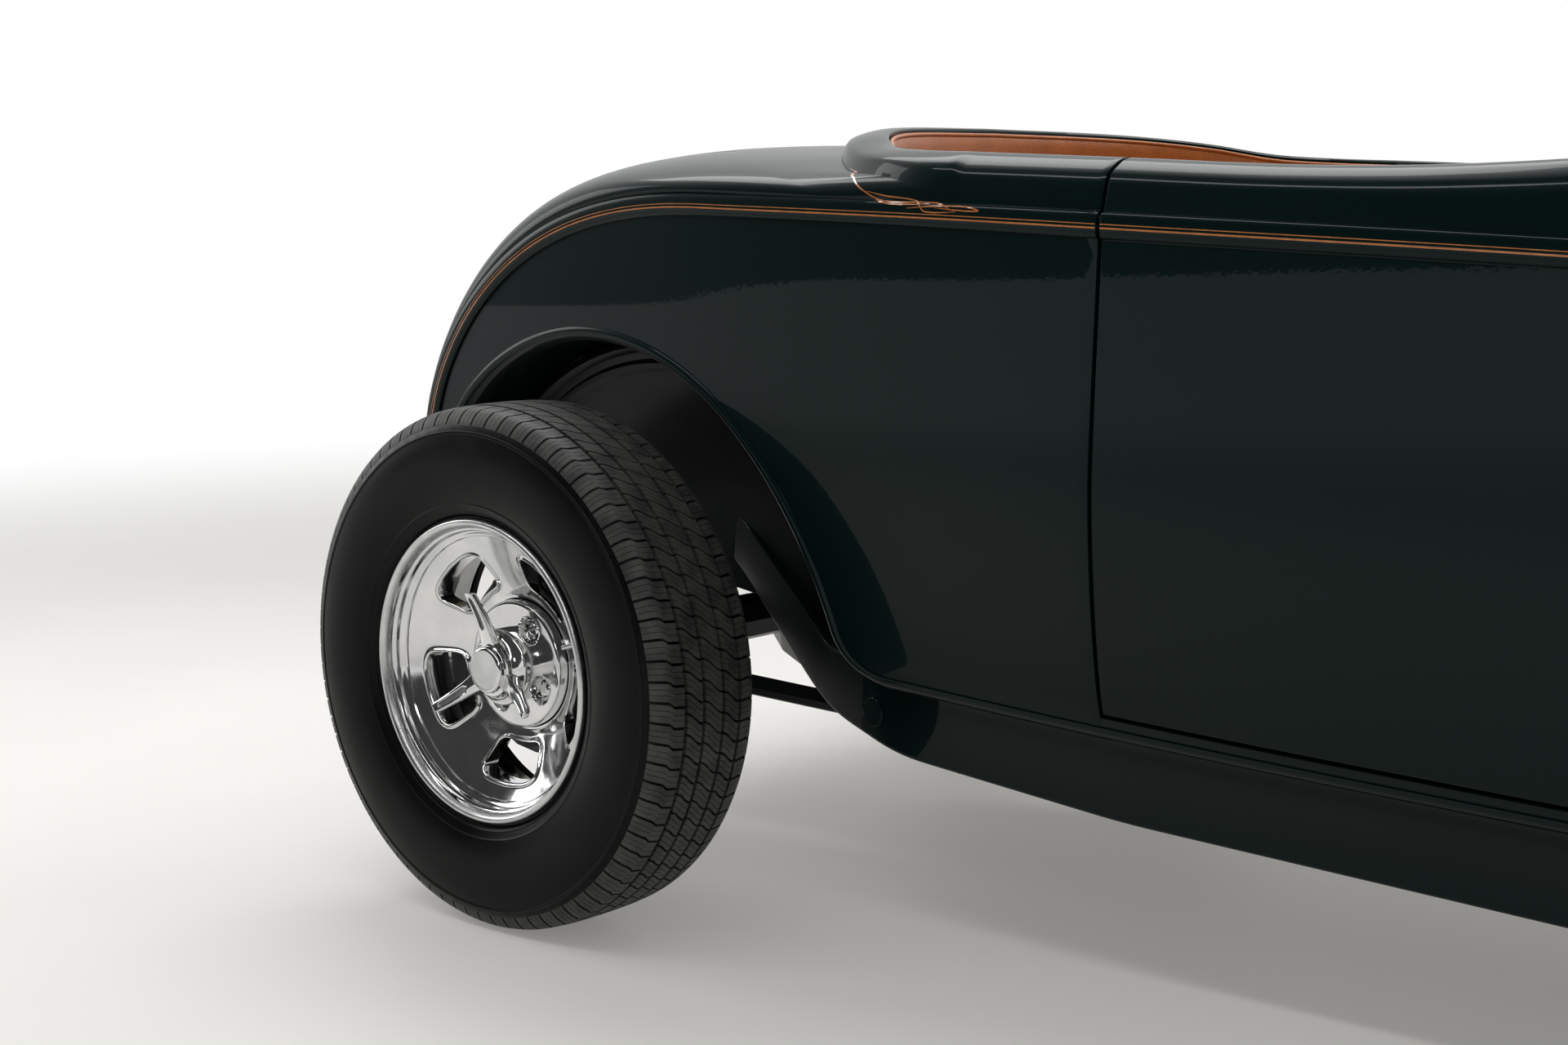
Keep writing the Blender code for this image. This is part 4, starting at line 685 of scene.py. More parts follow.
def makeCowl():
    loops = []
    for x in spread(frontX + gap / 2, firewallX, 14):
        outer, inner = cowlLoop(x, False), cowlLoop(x, True)
        ring = outer + flipY(reversed(outer[:-1]), -1)
        back = inner + flipY(reversed(inner[:-1]), -1)
        loops.append(ring + back[::-1])
    bm = bmesh.new()
    closedLoft(bm, loops)
    made = newPiece("bodyCowl", bm, paint, "chassis", tipped, 35)
    addModifier(made, "BEVEL", width=0.0014, segments=2, limit_method="ANGLE", angle_limit=radians(60))
    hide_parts("cowl")


makeCowl()


def hoodTop(x):
    share = (x - firewallX) / car["hoodLength"]
    return cowlTop(firewallX) + share * (cowlTop(shellX) - cowlTop(firewallX))


hoodLook = {"thick": 0.008, "seam": 0.003, "louvres": 22, "louvreTall": 0.165, "louvreOut": 0.0065}


def makeHoodTop(word, side):
    rows = []
    for x in spread(firewallX + gap, shellX - gap, 24):
        base = beltSpot(x - sweep["x"], 1.0)
        base.z += hoodLook["seam"]
        row = [base] + archOver(x, base, hoodTop(x), 26)
        row[-1].y = gap / 2
        rows.append(flipY(row, side))
    bm = bmesh.new()
    addGrid(bm, rows)
    pointOut(bm, (firewallX + 0.3, 0.1 * side, 0.6))
    made = skinPiece("hoodTop_" + word, bm, paint, "hood_top_" + word, hoodLook["thick"])
    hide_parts("hood_top_" + word)


louvreLow, louvreHigh = firewallX + 0.085, shellX - 0.075
louvrePitch = (louvreHigh - louvreLow) / hoodLook["louvres"]
louvrePhases = (0.0, 0.07, 0.16, 0.28, 0.42, 0.56, 0.59, 0.62)    # where a louvre's side view bends


def louvreRise(x, z):    # pressed louvres: a scoop that opens rearward
    if not louvreLow <= x <= louvreHigh:
        return 0.0
    phase = ((x - louvreLow) / louvrePitch) % 1.0
    middle = 0.5 * (hoodFoot(x) + beltCurve(x - sweep["x"]).y) + 0.012
    end = 1 - abs(z - middle) / (0.5 * hoodLook["louvreTall"])
    if end <= 0 or phase > 0.62:
        return 0.0
    shape = phase / 0.56 if phase < 0.56 else (0.62 - phase) / 0.06
    return hoodLook["louvreOut"] * min(1.0, end * 9) * sin(shape * pi / 2) ** 1.3


def makeHoodSide(word, side):
    xs = spread(firewallX + gap, louvreLow, 6)[:-1]
    xs += [louvreLow + (k + phase) * louvrePitch for k in range(hoodLook["louvres"])
           for phase in louvrePhases]
    xs += spread(louvreHigh, shellX - gap, 6)
    rows = []
    for x in xs:
        foot = hoodFoot(x)
        top = beltPoints(x - sweep["x"])
        row = []
        for z in spread(foot, top[0].z, 46)[:-1]:
            row.append(Vector((x, skinY(x, z) + louvreRise(x, z), z)))
        for i, p in enumerate(top):
            row.append(Vector((p.x, p.y, p.z - (gap if i == len(top) - 1 else gap * (i / len(top)) ** 3))))
        rows.append(flipY(row, side))
    bm = bmesh.new()
    addGrid(bm, rows)
    pointOut(bm, (firewallX + 0.3, 0.0, 0.8))
    made = skinPiece("hoodSide_" + word, bm, paint, "chassis", 0.003, bevel=0.0)
    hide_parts("hood_side_" + word)


for side, word in ((1, "left"), (-1, "right")):
    makeHoodTop(word, side)
    makeHoodSide(word, side)

shellRows = ((gap, 0.004), (0.020, 0.0048), (0.035, 0.006), (0.050, 0.0085), (0.066, 0.0122), (0.080, 0.0175),
             (0.091, 0.0245), (0.0965, 0.031), (0.098, 0.0365), (0.0955, 0.043), (0.089, 0.049),
             (0.080, 0.0525), (0.070, 0.054))


def shellHalf(x, shrink):
    foot = [Vector((x, skinY(x, hoodFoot(shellX)) * share, hoodFoot(shellX)))
            for share in spread(0.0, 1.0, 8)[:-1]]
    side = [Vector((x, skinY(x, z), z)) for z in spread(hoodFoot(shellX), 0.98, 18)]
    points = foot + side + archOver(x, side[-1], cowlTop(shellX), 26)
    return [Vector((x, p.y * (1 - shrink / 0.31), 0.78 + (p.z - 0.78) * (1 - shrink / 0.31))) for p in points]


def makeGrilleShell():
    bm = bmesh.new()
    addGrid(bm, [shellHalf(shellX + ahead, shrink) for ahead, shrink in shellRows])
    mirrored(bm)
    pointOut(bm, (shellX + 0.03, 0.0, 0.8))
    made = skinPiece("bodyGrilleShell", bm, paint, "chassis", hoodLook["thick"])
    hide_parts("grille_shell")


makeGrilleShell()
print("stage: doors, cowl, hood and shell")


# Pinstripes on the belt: a fine line above a broad one, cut at every panel gap

stripes = {"fine": (0.05, 0.12), "broad": (-0.26, -0.13), "lift": 0.00025}


def makeStripes(name, body, us, sides=(1, -1)):
    bm = bmesh.new()
    for side in sides:
        for low, high in (stripes["fine"], stripes["broad"]):
            rows = [flipY([beltSpot(u, low + (high - low) * k / 4, stripes["lift"]) for k in range(5)], side)
                    for u in us]
            addGrid(bm, rows)
    bmesh.ops.recalc_face_normals(bm, faces=bm.faces[:])
    for face in bm.faces:
        if face.normal.y * face.calc_center_median().y < 0:
            face.normal_flip()
    newPiece(name, bm, pinstripe, body, tipped, 60)


edge = 0.0035
makeStripes("pinstripe_rear", "chassis",
            spread(shutX - edge - sweep["x"], 0.0, 60) + spread(0.0, -0.985, 150)[1:])
makeStripes("pinstripe_cowl", "chassis",
            spread(frontX + edge - sweep["x"], firewallX - 0.001 - sweep["x"], 20))
makeStripes("pinstripe_hood", "chassis",
            spread(firewallX + gap + 0.001 - sweep["x"], shellX - gap - 0.001 - sweep["x"], 30))
for side, word in ((1, "left"), (-1, "right")):
    makeStripes("pinstripe_door_" + word, "door_" + word,
                spread(shutX + edge - sweep["x"], frontX - edge - sweep["x"], 40), (side,))


# Wheels and tyres, in each wheel's own frame: Z is the axle, pointing outward

# User-changeable sizes of both tyres, in metres; blocks run across the tread from "low" to "high"
tyreLook = {
    "rear": {"radius": 0.386, "width": 0.216, "rim": 0.216, "y": 0.712, "x": 0.0, "pitches": 82},
    "front": {"radius": 0.330, "width": 0.170, "rim": 0.200, "y": 0.700, "x": car["wheelBase"],
              "pitches": 70},
    "depth": 0.0080, "mark": 0.0006, "markStep": 0.012, "steps": 176,
}
# Tread ribs as shares of half the width: edges, shift along the pitch, slant, block spans along one pitch
treadRibs = (
    (-0.150, 0.150, 0.50, 0.55, ((0.00, 0.27), (0.30, 0.58), (0.61, 0.90))),
    (0.205, 0.465, 0.15, 0.42, ((0.00, 0.27), (0.30, 0.57), (0.60, 0.87))),
    (-0.465, -0.205, 0.80, 0.42, ((0.00, 0.27), (0.30, 0.57), (0.60, 0.87))),
)
# Shoulder block, across and down over the shoulder: share of half the width, drop below the crown
shoulderRows = ((0.522, 0.0016), (0.60, 0.0022), (0.68, 0.0033), (0.745, 0.0056), (0.80, 0.0096),
                (0.848, 0.0152), (0.885, 0.0215), (0.912, 0.0285))
shoulderSpans = ((0.00, 0.285), (0.31, 0.56), (0.585, 0.86))


def crownDrop(share):
    return 0.0012 * (share / 0.5) ** 2


def treadSpot(kind, share, along, radius):    # along is in pitches
    turn = 2 * pi * along / kind["pitches"]
    return Vector((radius * cos(turn), radius * sin(turn), share * 0.5 * kind["width"]))


# one tread block; rows hold share, top radius and floor radius
def addBlock(bm, kind, rows, low, high, slant):
    middle = 0.5 * (rows[0][0] + rows[-1][0])
    lines = []
    for share, top, floor in rows:
        t = (share - middle) / abs(rows[-1][0] - rows[0][0])
        shift = slant * t + 0.10 * copysign(min(1.0, abs(t) * 12), t)    # a step half way across
        lines.append([bm.verts.new(treadSpot(kind, share, low + shift, floor)),
                      bm.verts.new(treadSpot(kind, share, low + shift, top)),
                      bm.verts.new(treadSpot(kind, share, high + shift, top)),
                      bm.verts.new(treadSpot(kind, share, high + shift, floor))])
    for a, b in zip(lines, lines[1:]):
        for k in range(3):
            bm.faces.new((a[k], a[k + 1], b[k + 1], b[k]))
    bm.faces.new(lines[0][::-1])
    bm.faces.new(lines[-1])


def makeTyre(word, side, kind):
    outer, wide, rim = kind["radius"], kind["width"], kind["rim"]
    half = 0.5 * wide
    floor = outer - tyreLook["depth"]
    wall = outer - rim
    # Carcass half section: share of the wall's height, share of half the width
    section = [(0.000, 0.70), (0.000, 0.795), (0.062, 0.797), (0.075, 0.815), (0.085, 0.838), (0.100, 0.850),
               (0.108, 0.866), (0.120, 0.872), (0.150, 0.905), (0.165, 0.912), (0.172, 0.922), (0.180, 0.918),
               (0.26, 0.957), (0.34, 0.980), (0.42, 0.994), (0.50, 0.999), (0.58, 0.997), (0.66, 0.984),
               (0.72, 0.968), (0.765, 0.951), (0.773, 0.957), (0.790, 0.953), (0.797, 0.939), (0.835, 0.914),
               (0.87, 0.872), (0.90, 0.822), (0.925, 0.765), (0.94, 0.70)]
    profile = [(rim + wall * tall, share * half) for tall, share in section] + [(floor, 0.60 * half),
                                                                                (floor, 0.0)]
    profile += [(r, -h) for r, h in reversed(profile[:-1])]
    bm = bmesh.new()
    addGrid(bm, turnedRows([(r, h) for r, h in profile], tyreLook["steps"]), closed=True)
    # Mould marks: groups of three short ticks round the shoulder
    for k in range(kind["pitches"]):
        turn = 2 * pi * (k + 0.3) / kind["pitches"]
        for end in (1, -1):
            low, high = rim + wall * 0.80, rim + wall * 0.836
            for a in (turn, turn + tyreLook["markStep"], turn + 2 * tyreLook["markStep"]):
                spots = [Vector((r * cos(b), r * sin(b), end * (half * share + 0.0004)))
                         for r, b, share in ((low, a, 0.938), (low, a + tyreLook["mark"] / low, 0.938),
                                             (high, a + tyreLook["mark"] / high, 0.914), (high, a, 0.914))]
                bm.faces.new([bm.verts.new(p) for p in (spots if end > 0 else spots[::-1])])
    for face in bm.faces:
        face.material_index = 0
    carcassCount = len(bm.faces)
    for pitch in range(kind["pitches"]):
        for low, high, phase, slant, cuts in treadRibs:
            rows = [(share, outer - crownDrop(share), floor - 0.0008) for share in spread(low, high, 4)]
            for start, end in cuts:
                addBlock(bm, kind, rows, pitch + phase + start, pitch + phase + end, slant)
        for face in (1, -1):
            rows = []
            for i, (share, drop) in enumerate(shoulderRows):
                deep = tyreLook["depth"] * (1 - (i / (len(shoulderRows) - 1)) ** 2) * 0.85 + 0.0016
                crest = outer - drop * wide / tyreLook["rear"]["width"]
                rows.append((face * share, crest, crest - deep))
            for start, end in shoulderSpans:
                shift = 0.0 if face > 0 else 0.45
                addBlock(bm, kind, rows, pitch + shift + start, pitch + shift + end, 0.16 * face)
    bm.faces.ensure_lookup_table()
    for face in bm.faces[carcassCount:]:
        face.material_index = 1
    place = Matrix.Translation((originX + kind["x"], side * kind["y"], outer)) @ \
        Matrix.Rotation(pi if side > 0 else 0, 4, "Z") @ Matrix.Rotation(pi / 2, 4, "X")
    bmesh.ops.recalc_face_normals(bm, faces=bm.faces[:])
    made = newPiece("tyre_" + word, bm, (rubber, treadRubber), "wheel_" + word, place, 28)
    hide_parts("tyre_" + word)


wheelLook = {
    "windows": 5, "windowTurn": 199.5, "windowHalf": 20.5, "windowLow": 0.118, "windowHigh": 0.172,
    "borderRise": 0.0040, "bossZ": 0.020, "pockets": 4, "pocketTurn": 58.5,
    "bars": 3, "barTurn": 94.7, "steps": 200, "bossSteps": 200,
}


def dishHeight(r, lip, reach):
    share = max(0.0, (r - 0.100) / (0.094 + reach))
    return 0.0008 + (lip - 0.0398) * share ** 1.12


def backHeight(r, lip, reach):
    share = max(0.0, (r - 0.100) / (0.096 + reach))
    return max(-0.0045, dishHeight(r, lip, reach) - 0.027 + 0.004 * share)


def windowPatch(bm, middle, lip, reach, front):    # a 72 degree sector of the dish around one window
    radialMid = 0.5 * (wheelLook["windowLow"] + wheelLook["windowHigh"] + reach)
    radialHalf = 0.5 * (wheelLook["windowHigh"] + reach - wheelLook["windowLow"])
    r0, r1 = 0.097, 0.1975 + reach
    halfTurn = radians(wheelLook["windowHalf"])
    sectorTurn = pi / wheelLook["windows"]
    rings = []
    for k in range(72):
        phi = 2 * pi * k / 72
        c, s = cos(phi), sin(phi)
        power = 2 / 5.0
        hole = Vector((radialMid + radialHalf * spow(c, power), halfTurn * spow(s, power)))
        grow = 1 / max(abs(c), abs(s))
        outer = Vector((0.5 * (r0 + r1) + 0.5 * (r1 - r0) * c * grow, sectorTurn * s * grow))
        length = max(0.004, sqrt((outer.x - hole.x) ** 2 + (radialMid * (outer.y - hole.y)) ** 2))
        if front:
            near = [min(d, 0.55 * length)
                    for d in (0.0, 0.0008, 0.0018, 0.0028, 0.0038, 0.0048, 0.0060, 0.0075)]
        else:
            near = [0.0, min(0.006, 0.4 * length)]
        stops = near + spread(near[-1], length, 9)[1:]
        line = []
        for i, d in enumerate(stops):
            spot = hole.lerp(outer, d / length)
            if front:
                z = dishHeight(spot.x, lip, reach)
                if i < len(near):
                    t = i / (len(near) - 1)
                    z += wheelLook["borderRise"] * sin(min(1.0, 0.22 + t * 0.78) * pi) ** 1.5
            else:
                z = backHeight(spot.x, lip, reach)
            a = middle + spot.y
            line.append(bm.verts.new((spot.x * cos(a), spot.x * sin(a), z)))
        rings.append(line)
    for k in range(72):
        low, high = rings[k], rings[(k + 1) % 72]
        for i in range(len(low) - 1):
            bm.faces.new((low[i], low[i + 1], high[i + 1], high[i]))
    return [line[0] for line in rings]


def pocketDepth(r, turn):    # lug pockets pressed into the boss: rounded, deepest toward their inner end
    best = 0.0
    for k in range(wheelLook["pockets"]):
        middle = radians(wheelLook["pocketTurn"]) + 2 * pi * k / wheelLook["pockets"]
        off = (turn - middle + pi) % (2 * pi) - pi
        across = r * off / 0.0215
        along = (r - 0.0625) / 0.0205
        d = (abs(across) ** 3 + abs(along) ** 3) ** (1 / 3)
        if d < 1:
            fall = min(1.0, (1 - d) / 0.36)
            step = 0.0125 * fall * fall * (3 - 2 * fall)
            nut = max(0.0, 1 - sqrt((across / 0.62) ** 2 + ((along - 0.05) / 0.60) ** 2))
            best = max(best, step - 0.0060 * min(1.0, nut / 0.35))
    return best


def bossFace(bm, steps):
    radii = spread(0.0, 0.036, 3)[1:] + spread(0.040, 0.086, 30) + [0.088, 0.090, 0.0918, 0.0933, 0.0943,
                                                                    0.0948, 0.095, 0.0951, 0.0953]
    edge = {0.090: 0.0001, 0.0918: 0.0005, 0.0933: 0.0013, 0.0943: 0.0024, 0.0948: 0.0036, 0.095: 0.0050,
            0.0951: 0.0110, 0.0953: 0.0195}
    rows = []
    for k in range(steps):
        a = 2 * pi * k / steps
        rows.append([Vector((r * cos(a), r * sin(a), wheelLook["bossZ"] - edge.get(r, 0.0) - pocketDepth(r, a)
                             - 0.0016 * (r / 0.095) ** 2)) for r in radii])
    addGrid(bm, rows, closed=True)


def spinnerBar(bm, turn):    # one knock-off bar with a long slot sunk in its face
    # Stations: radius, half width, underside, top
    stations = ((0.022, 0.0175, 0.048, 0.0660), (0.036, 0.0155, 0.050, 0.0690),
                (0.048, 0.0128, 0.053, 0.0722), (0.060, 0.0115, 0.058, 0.0755),
                (0.075, 0.0104, 0.065, 0.0800), (0.090, 0.0093, 0.073, 0.0862),
                (0.104, 0.0083, 0.0795, 0.0930), (0.1120, 0.0077, 0.0842, 0.0972),
                (0.1148, 0.0068, 0.0862, 0.0984), (0.1154, 0.0050, 0.0885, 0.0972))
    slotIn, slotOut = 0.0575, 0.1085
    rows = []
    for r, half, low, high in densify(stations, 4):
        opened = max(0.0, min(1.0, (r - slotIn) / 0.006, (slotOut - r) / 0.004))
        slot = 0.0040 * min(1.0, opened * 2)
        inner = max(0.0006, half * 0.44 * sqrt(opened))
        ring = [(half * 0.62, low), (half * 0.97, low + 0.004), (half, high - 0.0042),
                (half * 0.90, high - 0.0012), (half * 0.74, high - 0.0001), (inner + 0.0013, high),
                (inner + 0.0002, high - 0.0006 * (slot > 0)), (inner * 0.92, high - slot), (0.0, high - slot)]
        ring = ring + [(-w, z) for w, z in reversed(ring[:-1])]
        rows.append([Vector((r * cos(turn) - w * sin(turn), r * sin(turn) + w * cos(turn), z))
                     for w, z in ring])
    verts = [[bm.verts.new(p) for p in row] for row in rows]
    count = len(rows[0])
    for low, high in zip(verts, verts[1:]):
        for k in range(count):
            face = bm.faces.new((low[k], low[(k + 1) % count], high[(k + 1) % count], high[k]))
            face.material_index = 2 if k in (6, 7, 8, 9) and low[8].co.z < low[5].co.z - 0.002 else 0
    bm.faces.new(verts[0][::-1])
    bm.faces.new(verts[-1])


def densify(stations, count):    # stations blended smoothly, count steps between each pair
    tables = [smoothTable([(s[0], s[i]) for s in stations]) for i in range(1, len(stations[0]))]
    rows = []
    for a, b in zip(stations, stations[1:]):
        for k in range(count):
            r = a[0] + (b[0] - a[0]) * k / count
            rows.append((r, *[table(r) for table in tables]))
    rows.append(stations[-1])
    return rows


def makeWheel(word, side, kind):
    steps = wheelLook["steps"]
    reach = kind["rim"] - tyreLook["rear"]["rim"]
    bead = 0.40 * kind["width"] + 0.0003
    lip = bead + 0.010
    bm = bmesh.new()
    # Barrel and rim lip: from the groove round the dish, up the polished steps, over the satin lip, behind
    # (radius less the rim's, height below the lip's crest)
    steep = ((-0.0200, -0.0400), (-0.0185, -0.0388), (-0.0192, -0.0372), (-0.0205, -0.0365),
             (-0.0210, -0.0345), (-0.0200, -0.0325), (-0.0178, -0.0312), (-0.0165, -0.0302),
             (-0.0150, -0.0285), (-0.0125, -0.0270), (-0.0118, -0.0255), (-0.0114, -0.0225),
             (-0.0104, -0.0205), (-0.0088, -0.0195), (-0.0072, -0.0185), (-0.0064, -0.0170),
             (-0.0060, -0.0130), (-0.0052, -0.0100))
    rounded = ((-0.0052, -0.0100), (-0.0048, -0.0080), (-0.0040, -0.0058), (-0.0026, -0.0036),
               (-0.0008, -0.0018), (0.0014, -0.0008), (0.0036, -0.0010), (0.0056, -0.0022), (0.0070, -0.0040),
               (0.0077, -0.0060), (0.0078, -0.0082), (0.0074, -0.0098), (-0.0002, -0.0100))
    addGrid(bm, turnedRows([(kind["rim"] + r, lip + h) for r, h in steep], steps), closed=True)
    first = len(bm.faces)
    addGrid(bm, turnedRows([(kind["rim"] + r, lip + h) for r, h in rounded], steps), closed=True)
    bm.faces.ensure_lookup_table()
    for face in bm.faces[first:]:
        face.material_index = 1
    # Drop centre behind, down to the inner bead
    behind = ((-0.0210, -0.0410), (-0.0205, -0.0600), (-0.026, -0.075), (-0.026, -0.110), (-0.008, -0.130),
              (-0.0065, -0.160), (0.0055, -0.164), (0.0075, -0.170))
    scale = 2 * bead / 0.1734
    addGrid(bm, turnedRows([(kind["rim"] + r, lip + h * scale if h < -0.045 else lip + h) for r, h in behind],
                           96), closed=True)
    for k in range(wheelLook["windows"]):
        middle = radians(wheelLook["windowTurn"]) + 2 * pi * k / wheelLook["windows"]
        front = windowPatch(bm, middle, lip, reach, True)
        back = windowPatch(bm, middle, lip, reach, False)
        for i in range(72):
            j = (i + 1) % 72
            bm.faces.new((front[i], front[j], back[j], back[i]))
    weld(bm, 0.00003)
    bossFace(bm, wheelLook["bossSteps"])
    # Hub collar and cap
    addGrid(bm, turnedRows([(0.0565, 0.010), (0.0565, 0.046), (0.0560, 0.0482), (0.0548, 0.0496),
                            (0.0530, 0.0502), (0.0480, 0.0520), (0.0445, 0.0545), (0.0425, 0.0580),
                            (0.0412, 0.0600), (0.0405, 0.0615), (0.0405, 0.0655), (0.0398, 0.0672),
                            (0.0380, 0.0680), (0.0352, 0.0682), (0.0344, 0.0690), (0.0342, 0.0745),
                            (0.0334, 0.0768), (0.0318, 0.0782), (0.0296, 0.0788)], 96), closed=True)
    first = len(bm.faces)
    addGrid(bm, turnedRows([(0.0296, 0.0788), (0.0288, 0.0784), (0.0280, 0.0783), (0.0, 0.0785)], 96),
            closed=True)
    bm.faces.ensure_lookup_table()
    for face in bm.faces[first:]:
        face.material_index = 1
    for k in range(wheelLook["bars"]):
        spinnerBar(bm, radians(wheelLook["barTurn"]) + 2 * pi * k / wheelLook["bars"])
    # Valve stem through the barrel
    a = radians(17.5)
    ahead = Vector((cos(a), sin(a), 0))
    addTube(bm, [ahead * (0.196 + reach) + Vector((0, 0, lip - 0.030)),
                 ahead * (0.186 + reach) + Vector((0, 0, lip - 0.024)),
                 ahead * (0.1745 + reach) + Vector((0, 0, lip - 0.0205))], [0.0042, 0.0036, 0.0034], 12,
                 slot=1)
    place = Matrix.Translation((originX + kind["x"], side * kind["y"], kind["radius"])) @ \
        Matrix.Rotation(pi if side > 0 else 0, 4, "Z") @ Matrix.Rotation(pi / 2, 4, "X")
    bmesh.ops.recalc_face_normals(bm, faces=bm.faces[:])
    made = newPiece("wheel_" + word, bm, (aluminium, satinAluminium, slotGrey), "wheel_" + word, place, 30)
    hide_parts("wheel_" + word)


for side, word in ((1, "left"), (-1, "right")):
    for end in ("rear", "front"):
        makeTyre(end + "_" + word, side, tyreLook[end])
        makeWheel(end + "_" + word, side, tyreLook[end])
print("stage: wheels and tyres")


# Frame rails, sills, wheel wells, tubes and rods

levelPlace = Matrix.Translation((originX, 0, 0))    # chassis parts that stand level
# Rails: x, bottom, top, outer half width; then the tubes that join them: x, z, half width, radius
railRows = ((-0.43, 0.552, 0.617, 0.405), (-0.30, 0.560, 0.626, 0.410), (0.12, 0.540, 0.618, 0.425),
            (0.36, 0.345, 0.440, 0.470), (0.52, 0.312, 0.4195, 0.505), (0.90, 0.300, 0.4195, 0.515),
            (frontX - 0.004, 0.300, 0.4195, 0.480), (firewallX + 0.056, 0.318, 0.4195, 0.425),
            (firewallX + 0.356, 0.380, 0.470, 0.375), (shellX - 0.004, 0.470, 0.535, 0.335),
            (shellX + 0.246, 0.480, 0.530, 0.320))
crossTubes = ((-0.408, 0.585, 0.385, 0.018), (0.62, 0.322, 0.490, 0.018), (1.62, 0.322, 0.460, 0.018),
              (shellX - 0.029, 0.503, 0.310, 0.022), (shellX + 0.216, 0.505, 0.300, 0.018))
railLook = {"thick": 0.045, "round": 0.007}
# round plug in the rail's side
plug = {"x": 0.470, "z": 0.364, "y": 0.4885, "r": 0.021, "out": 0.008, "lean": -0.213}


def straightTable(table):
    def value(x):
        for (x0, y0), (x1, y1) in zip(table, table[1:]):
            if x <= x1 or (x1, y1) == table[-1]:
                return y0 + (y1 - y0) * (x - x0) / (x1 - x0)
    return value


def makeFrame():
    low, high, wide = (straightTable([(row[0], row[i]) for row in railRows]) for i in (1, 2, 3))
    bm = bmesh.new()
    for side in (1, -1):
        loops = []
        for x in spread(railRows[0][0], railRows[-1][0], 200):
            near = 0.045 * min(1.0, (x - railRows[0][0]) / 0.05, (railRows[-1][0] - x) / 0.05)
            # The kinks of the plan and side view are bent, not cornered
            blend = ((-1, 1), (-0.5, 2), (0, 2), (0.5, 2), (1, 1))
            bottom, top, out = (sum(f(x + near * t) * w for t, w in blend) / 8 for f in (low, high, wide))
            top = min(top, high(x))
            inner = out - railLook["thick"]
            r = railLook["round"]
            loop = []
            for cy, cz, start in ((out - r, top - r, 0), (inner + r, top - r, 90),
                                  (inner + r, bottom + r, 180), (out - r, bottom + r, 270)):
                for k in range(4):
                    a = radians(start + 30 * k)
                    loop.append(Vector((x, side * (cy + r * cos(a)), cz + r * sin(a))))
            loops.append(loop)
        closedLoft(bm, loops)
    for x, z, half, radius in crossTubes:
        addTube(bm, [(x, -half, z), (x, half, z)], radius, 24)
    for side in (1, -1):
        foot = Vector((plug["x"], side * plug["y"], plug["z"]))
        way = Vector((plug["lean"], side, 0)).normalized() * plug["out"]
        addTube(bm, [foot, foot + way * 0.85, foot + way], [plug["r"], plug["r"], 0.93 * plug["r"]], 48)
    for face in bm.faces:    # painted shade: where it rises over the axle, in the wheel well's shadow, the rail takes the darker chassis paint
        face.material_index = 1 if face.calc_center_median().x < 0.44 else 0
    made = newPiece("frameRails", bm, (paint, wellPaintAndShade), "chassis", tipped, 35)
    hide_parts("frame")


makeFrame()


def makeSills():    # the body's lower edge under each door, with the bead that runs on from the quarter
    bm = bmesh.new()
    for side in (1, -1):
        rows = []
        for x in spread(shutX - gap / 2, frontX + gap / 2, 40):
            foot, way = Vector((x, sillZ)), Vector((0, 1))
            wide, bead = 2 * panelLook["beadHalf"], panelLook["bead"]
            row = [Vector((x, y, sillZ - 0.004)) for y in spread(0.458, skinY(x, sillZ) - 0.012, 4)]
            for k in range(9):
                turn = pi * k / 8
                z = sillZ + 0.5 * wide * (1 - cos(turn)) - (0.003 if k == 0 else 0)
                row.append(Vector((x, skinY(x, z) + bead * sin(turn) - (0.004 if k == 0 else 0), z)))
            for z in spread(sillZ + wide + 0.001, foldZ - 0.001, 5):
                row.append(Vector((x, skinY(x, z), z)))
            last = row[-1]
            row += [Vector((x, last.y - 0.0015, last.z + 0.001)), Vector((x, last.y - 0.050, last.z + 0.001))]
            rows.append(flipY(row, side))
        addGrid(bm, rows)
    bmesh.ops.recalc_face_normals(bm, faces=bm.faces[:])
    for face in bm.faces:
        if face.normal.y * face.calc_center_median().y < -0.3 * abs(face.calc_center_median().y):
            face.normal_flip()
    newPiece("bodySills", bm, paint, "chassis", tipped, 40)


makeSills()


def makeWells():    # inner wheel wells: an upright wall behind each arch, with pressed ribs that follow it
    bm = bmesh.new()
    inner = [(foot.x - 0.006 * way.x, foot.y - 0.006 * way.y) for foot, way, u in feet if foot.y > 0.455]
    centre = Vector((arch["x"], 0.50))
    for side in (1, -1):
        rows = []
        for x, z in inner:
            row = []
            for t, push in ((1.0, 0.0), (0.975, 0.012), (0.955, 0.014), (0.93, 0.004), (0.90, 0.003),
                            (0.88, 0.012), (0.86, 0.012), (0.84, 0.003), (0.60, 0.002), (0.30, 0.0),
                            (0.0, 0.0)):
                spot = centre.lerp(Vector((x, z)), t)
                row.append(Vector((spot.x, side * (arch["wellY"] - 0.0015 + push), spot.y)))
            rows.append(row)
        addGrid(bm, rows)
    bmesh.ops.recalc_face_normals(bm, faces=bm.faces[:])
    made = newPiece("wheelWells", bm, wellPaintAndShade, "chassis", tipped, 40)
    addModifier(made, "SOLIDIFY", thickness=0.002, offset=-1.0)


makeWells()


def smoothPath(points, count):    # a bent tube's centre line through its route points
    lengths = [0.0]
    for a, b in zip(points, points[1:]):
        lengths.append(lengths[-1] + (Vector(b) - Vector(a)).length)
    tables = [smoothTable([(d, p[i]) for d, p in zip(lengths, points)]) for i in range(3)]
    return [Vector(table(d) for table in tables) for d in spread(0.0, lengths[-1], count)]


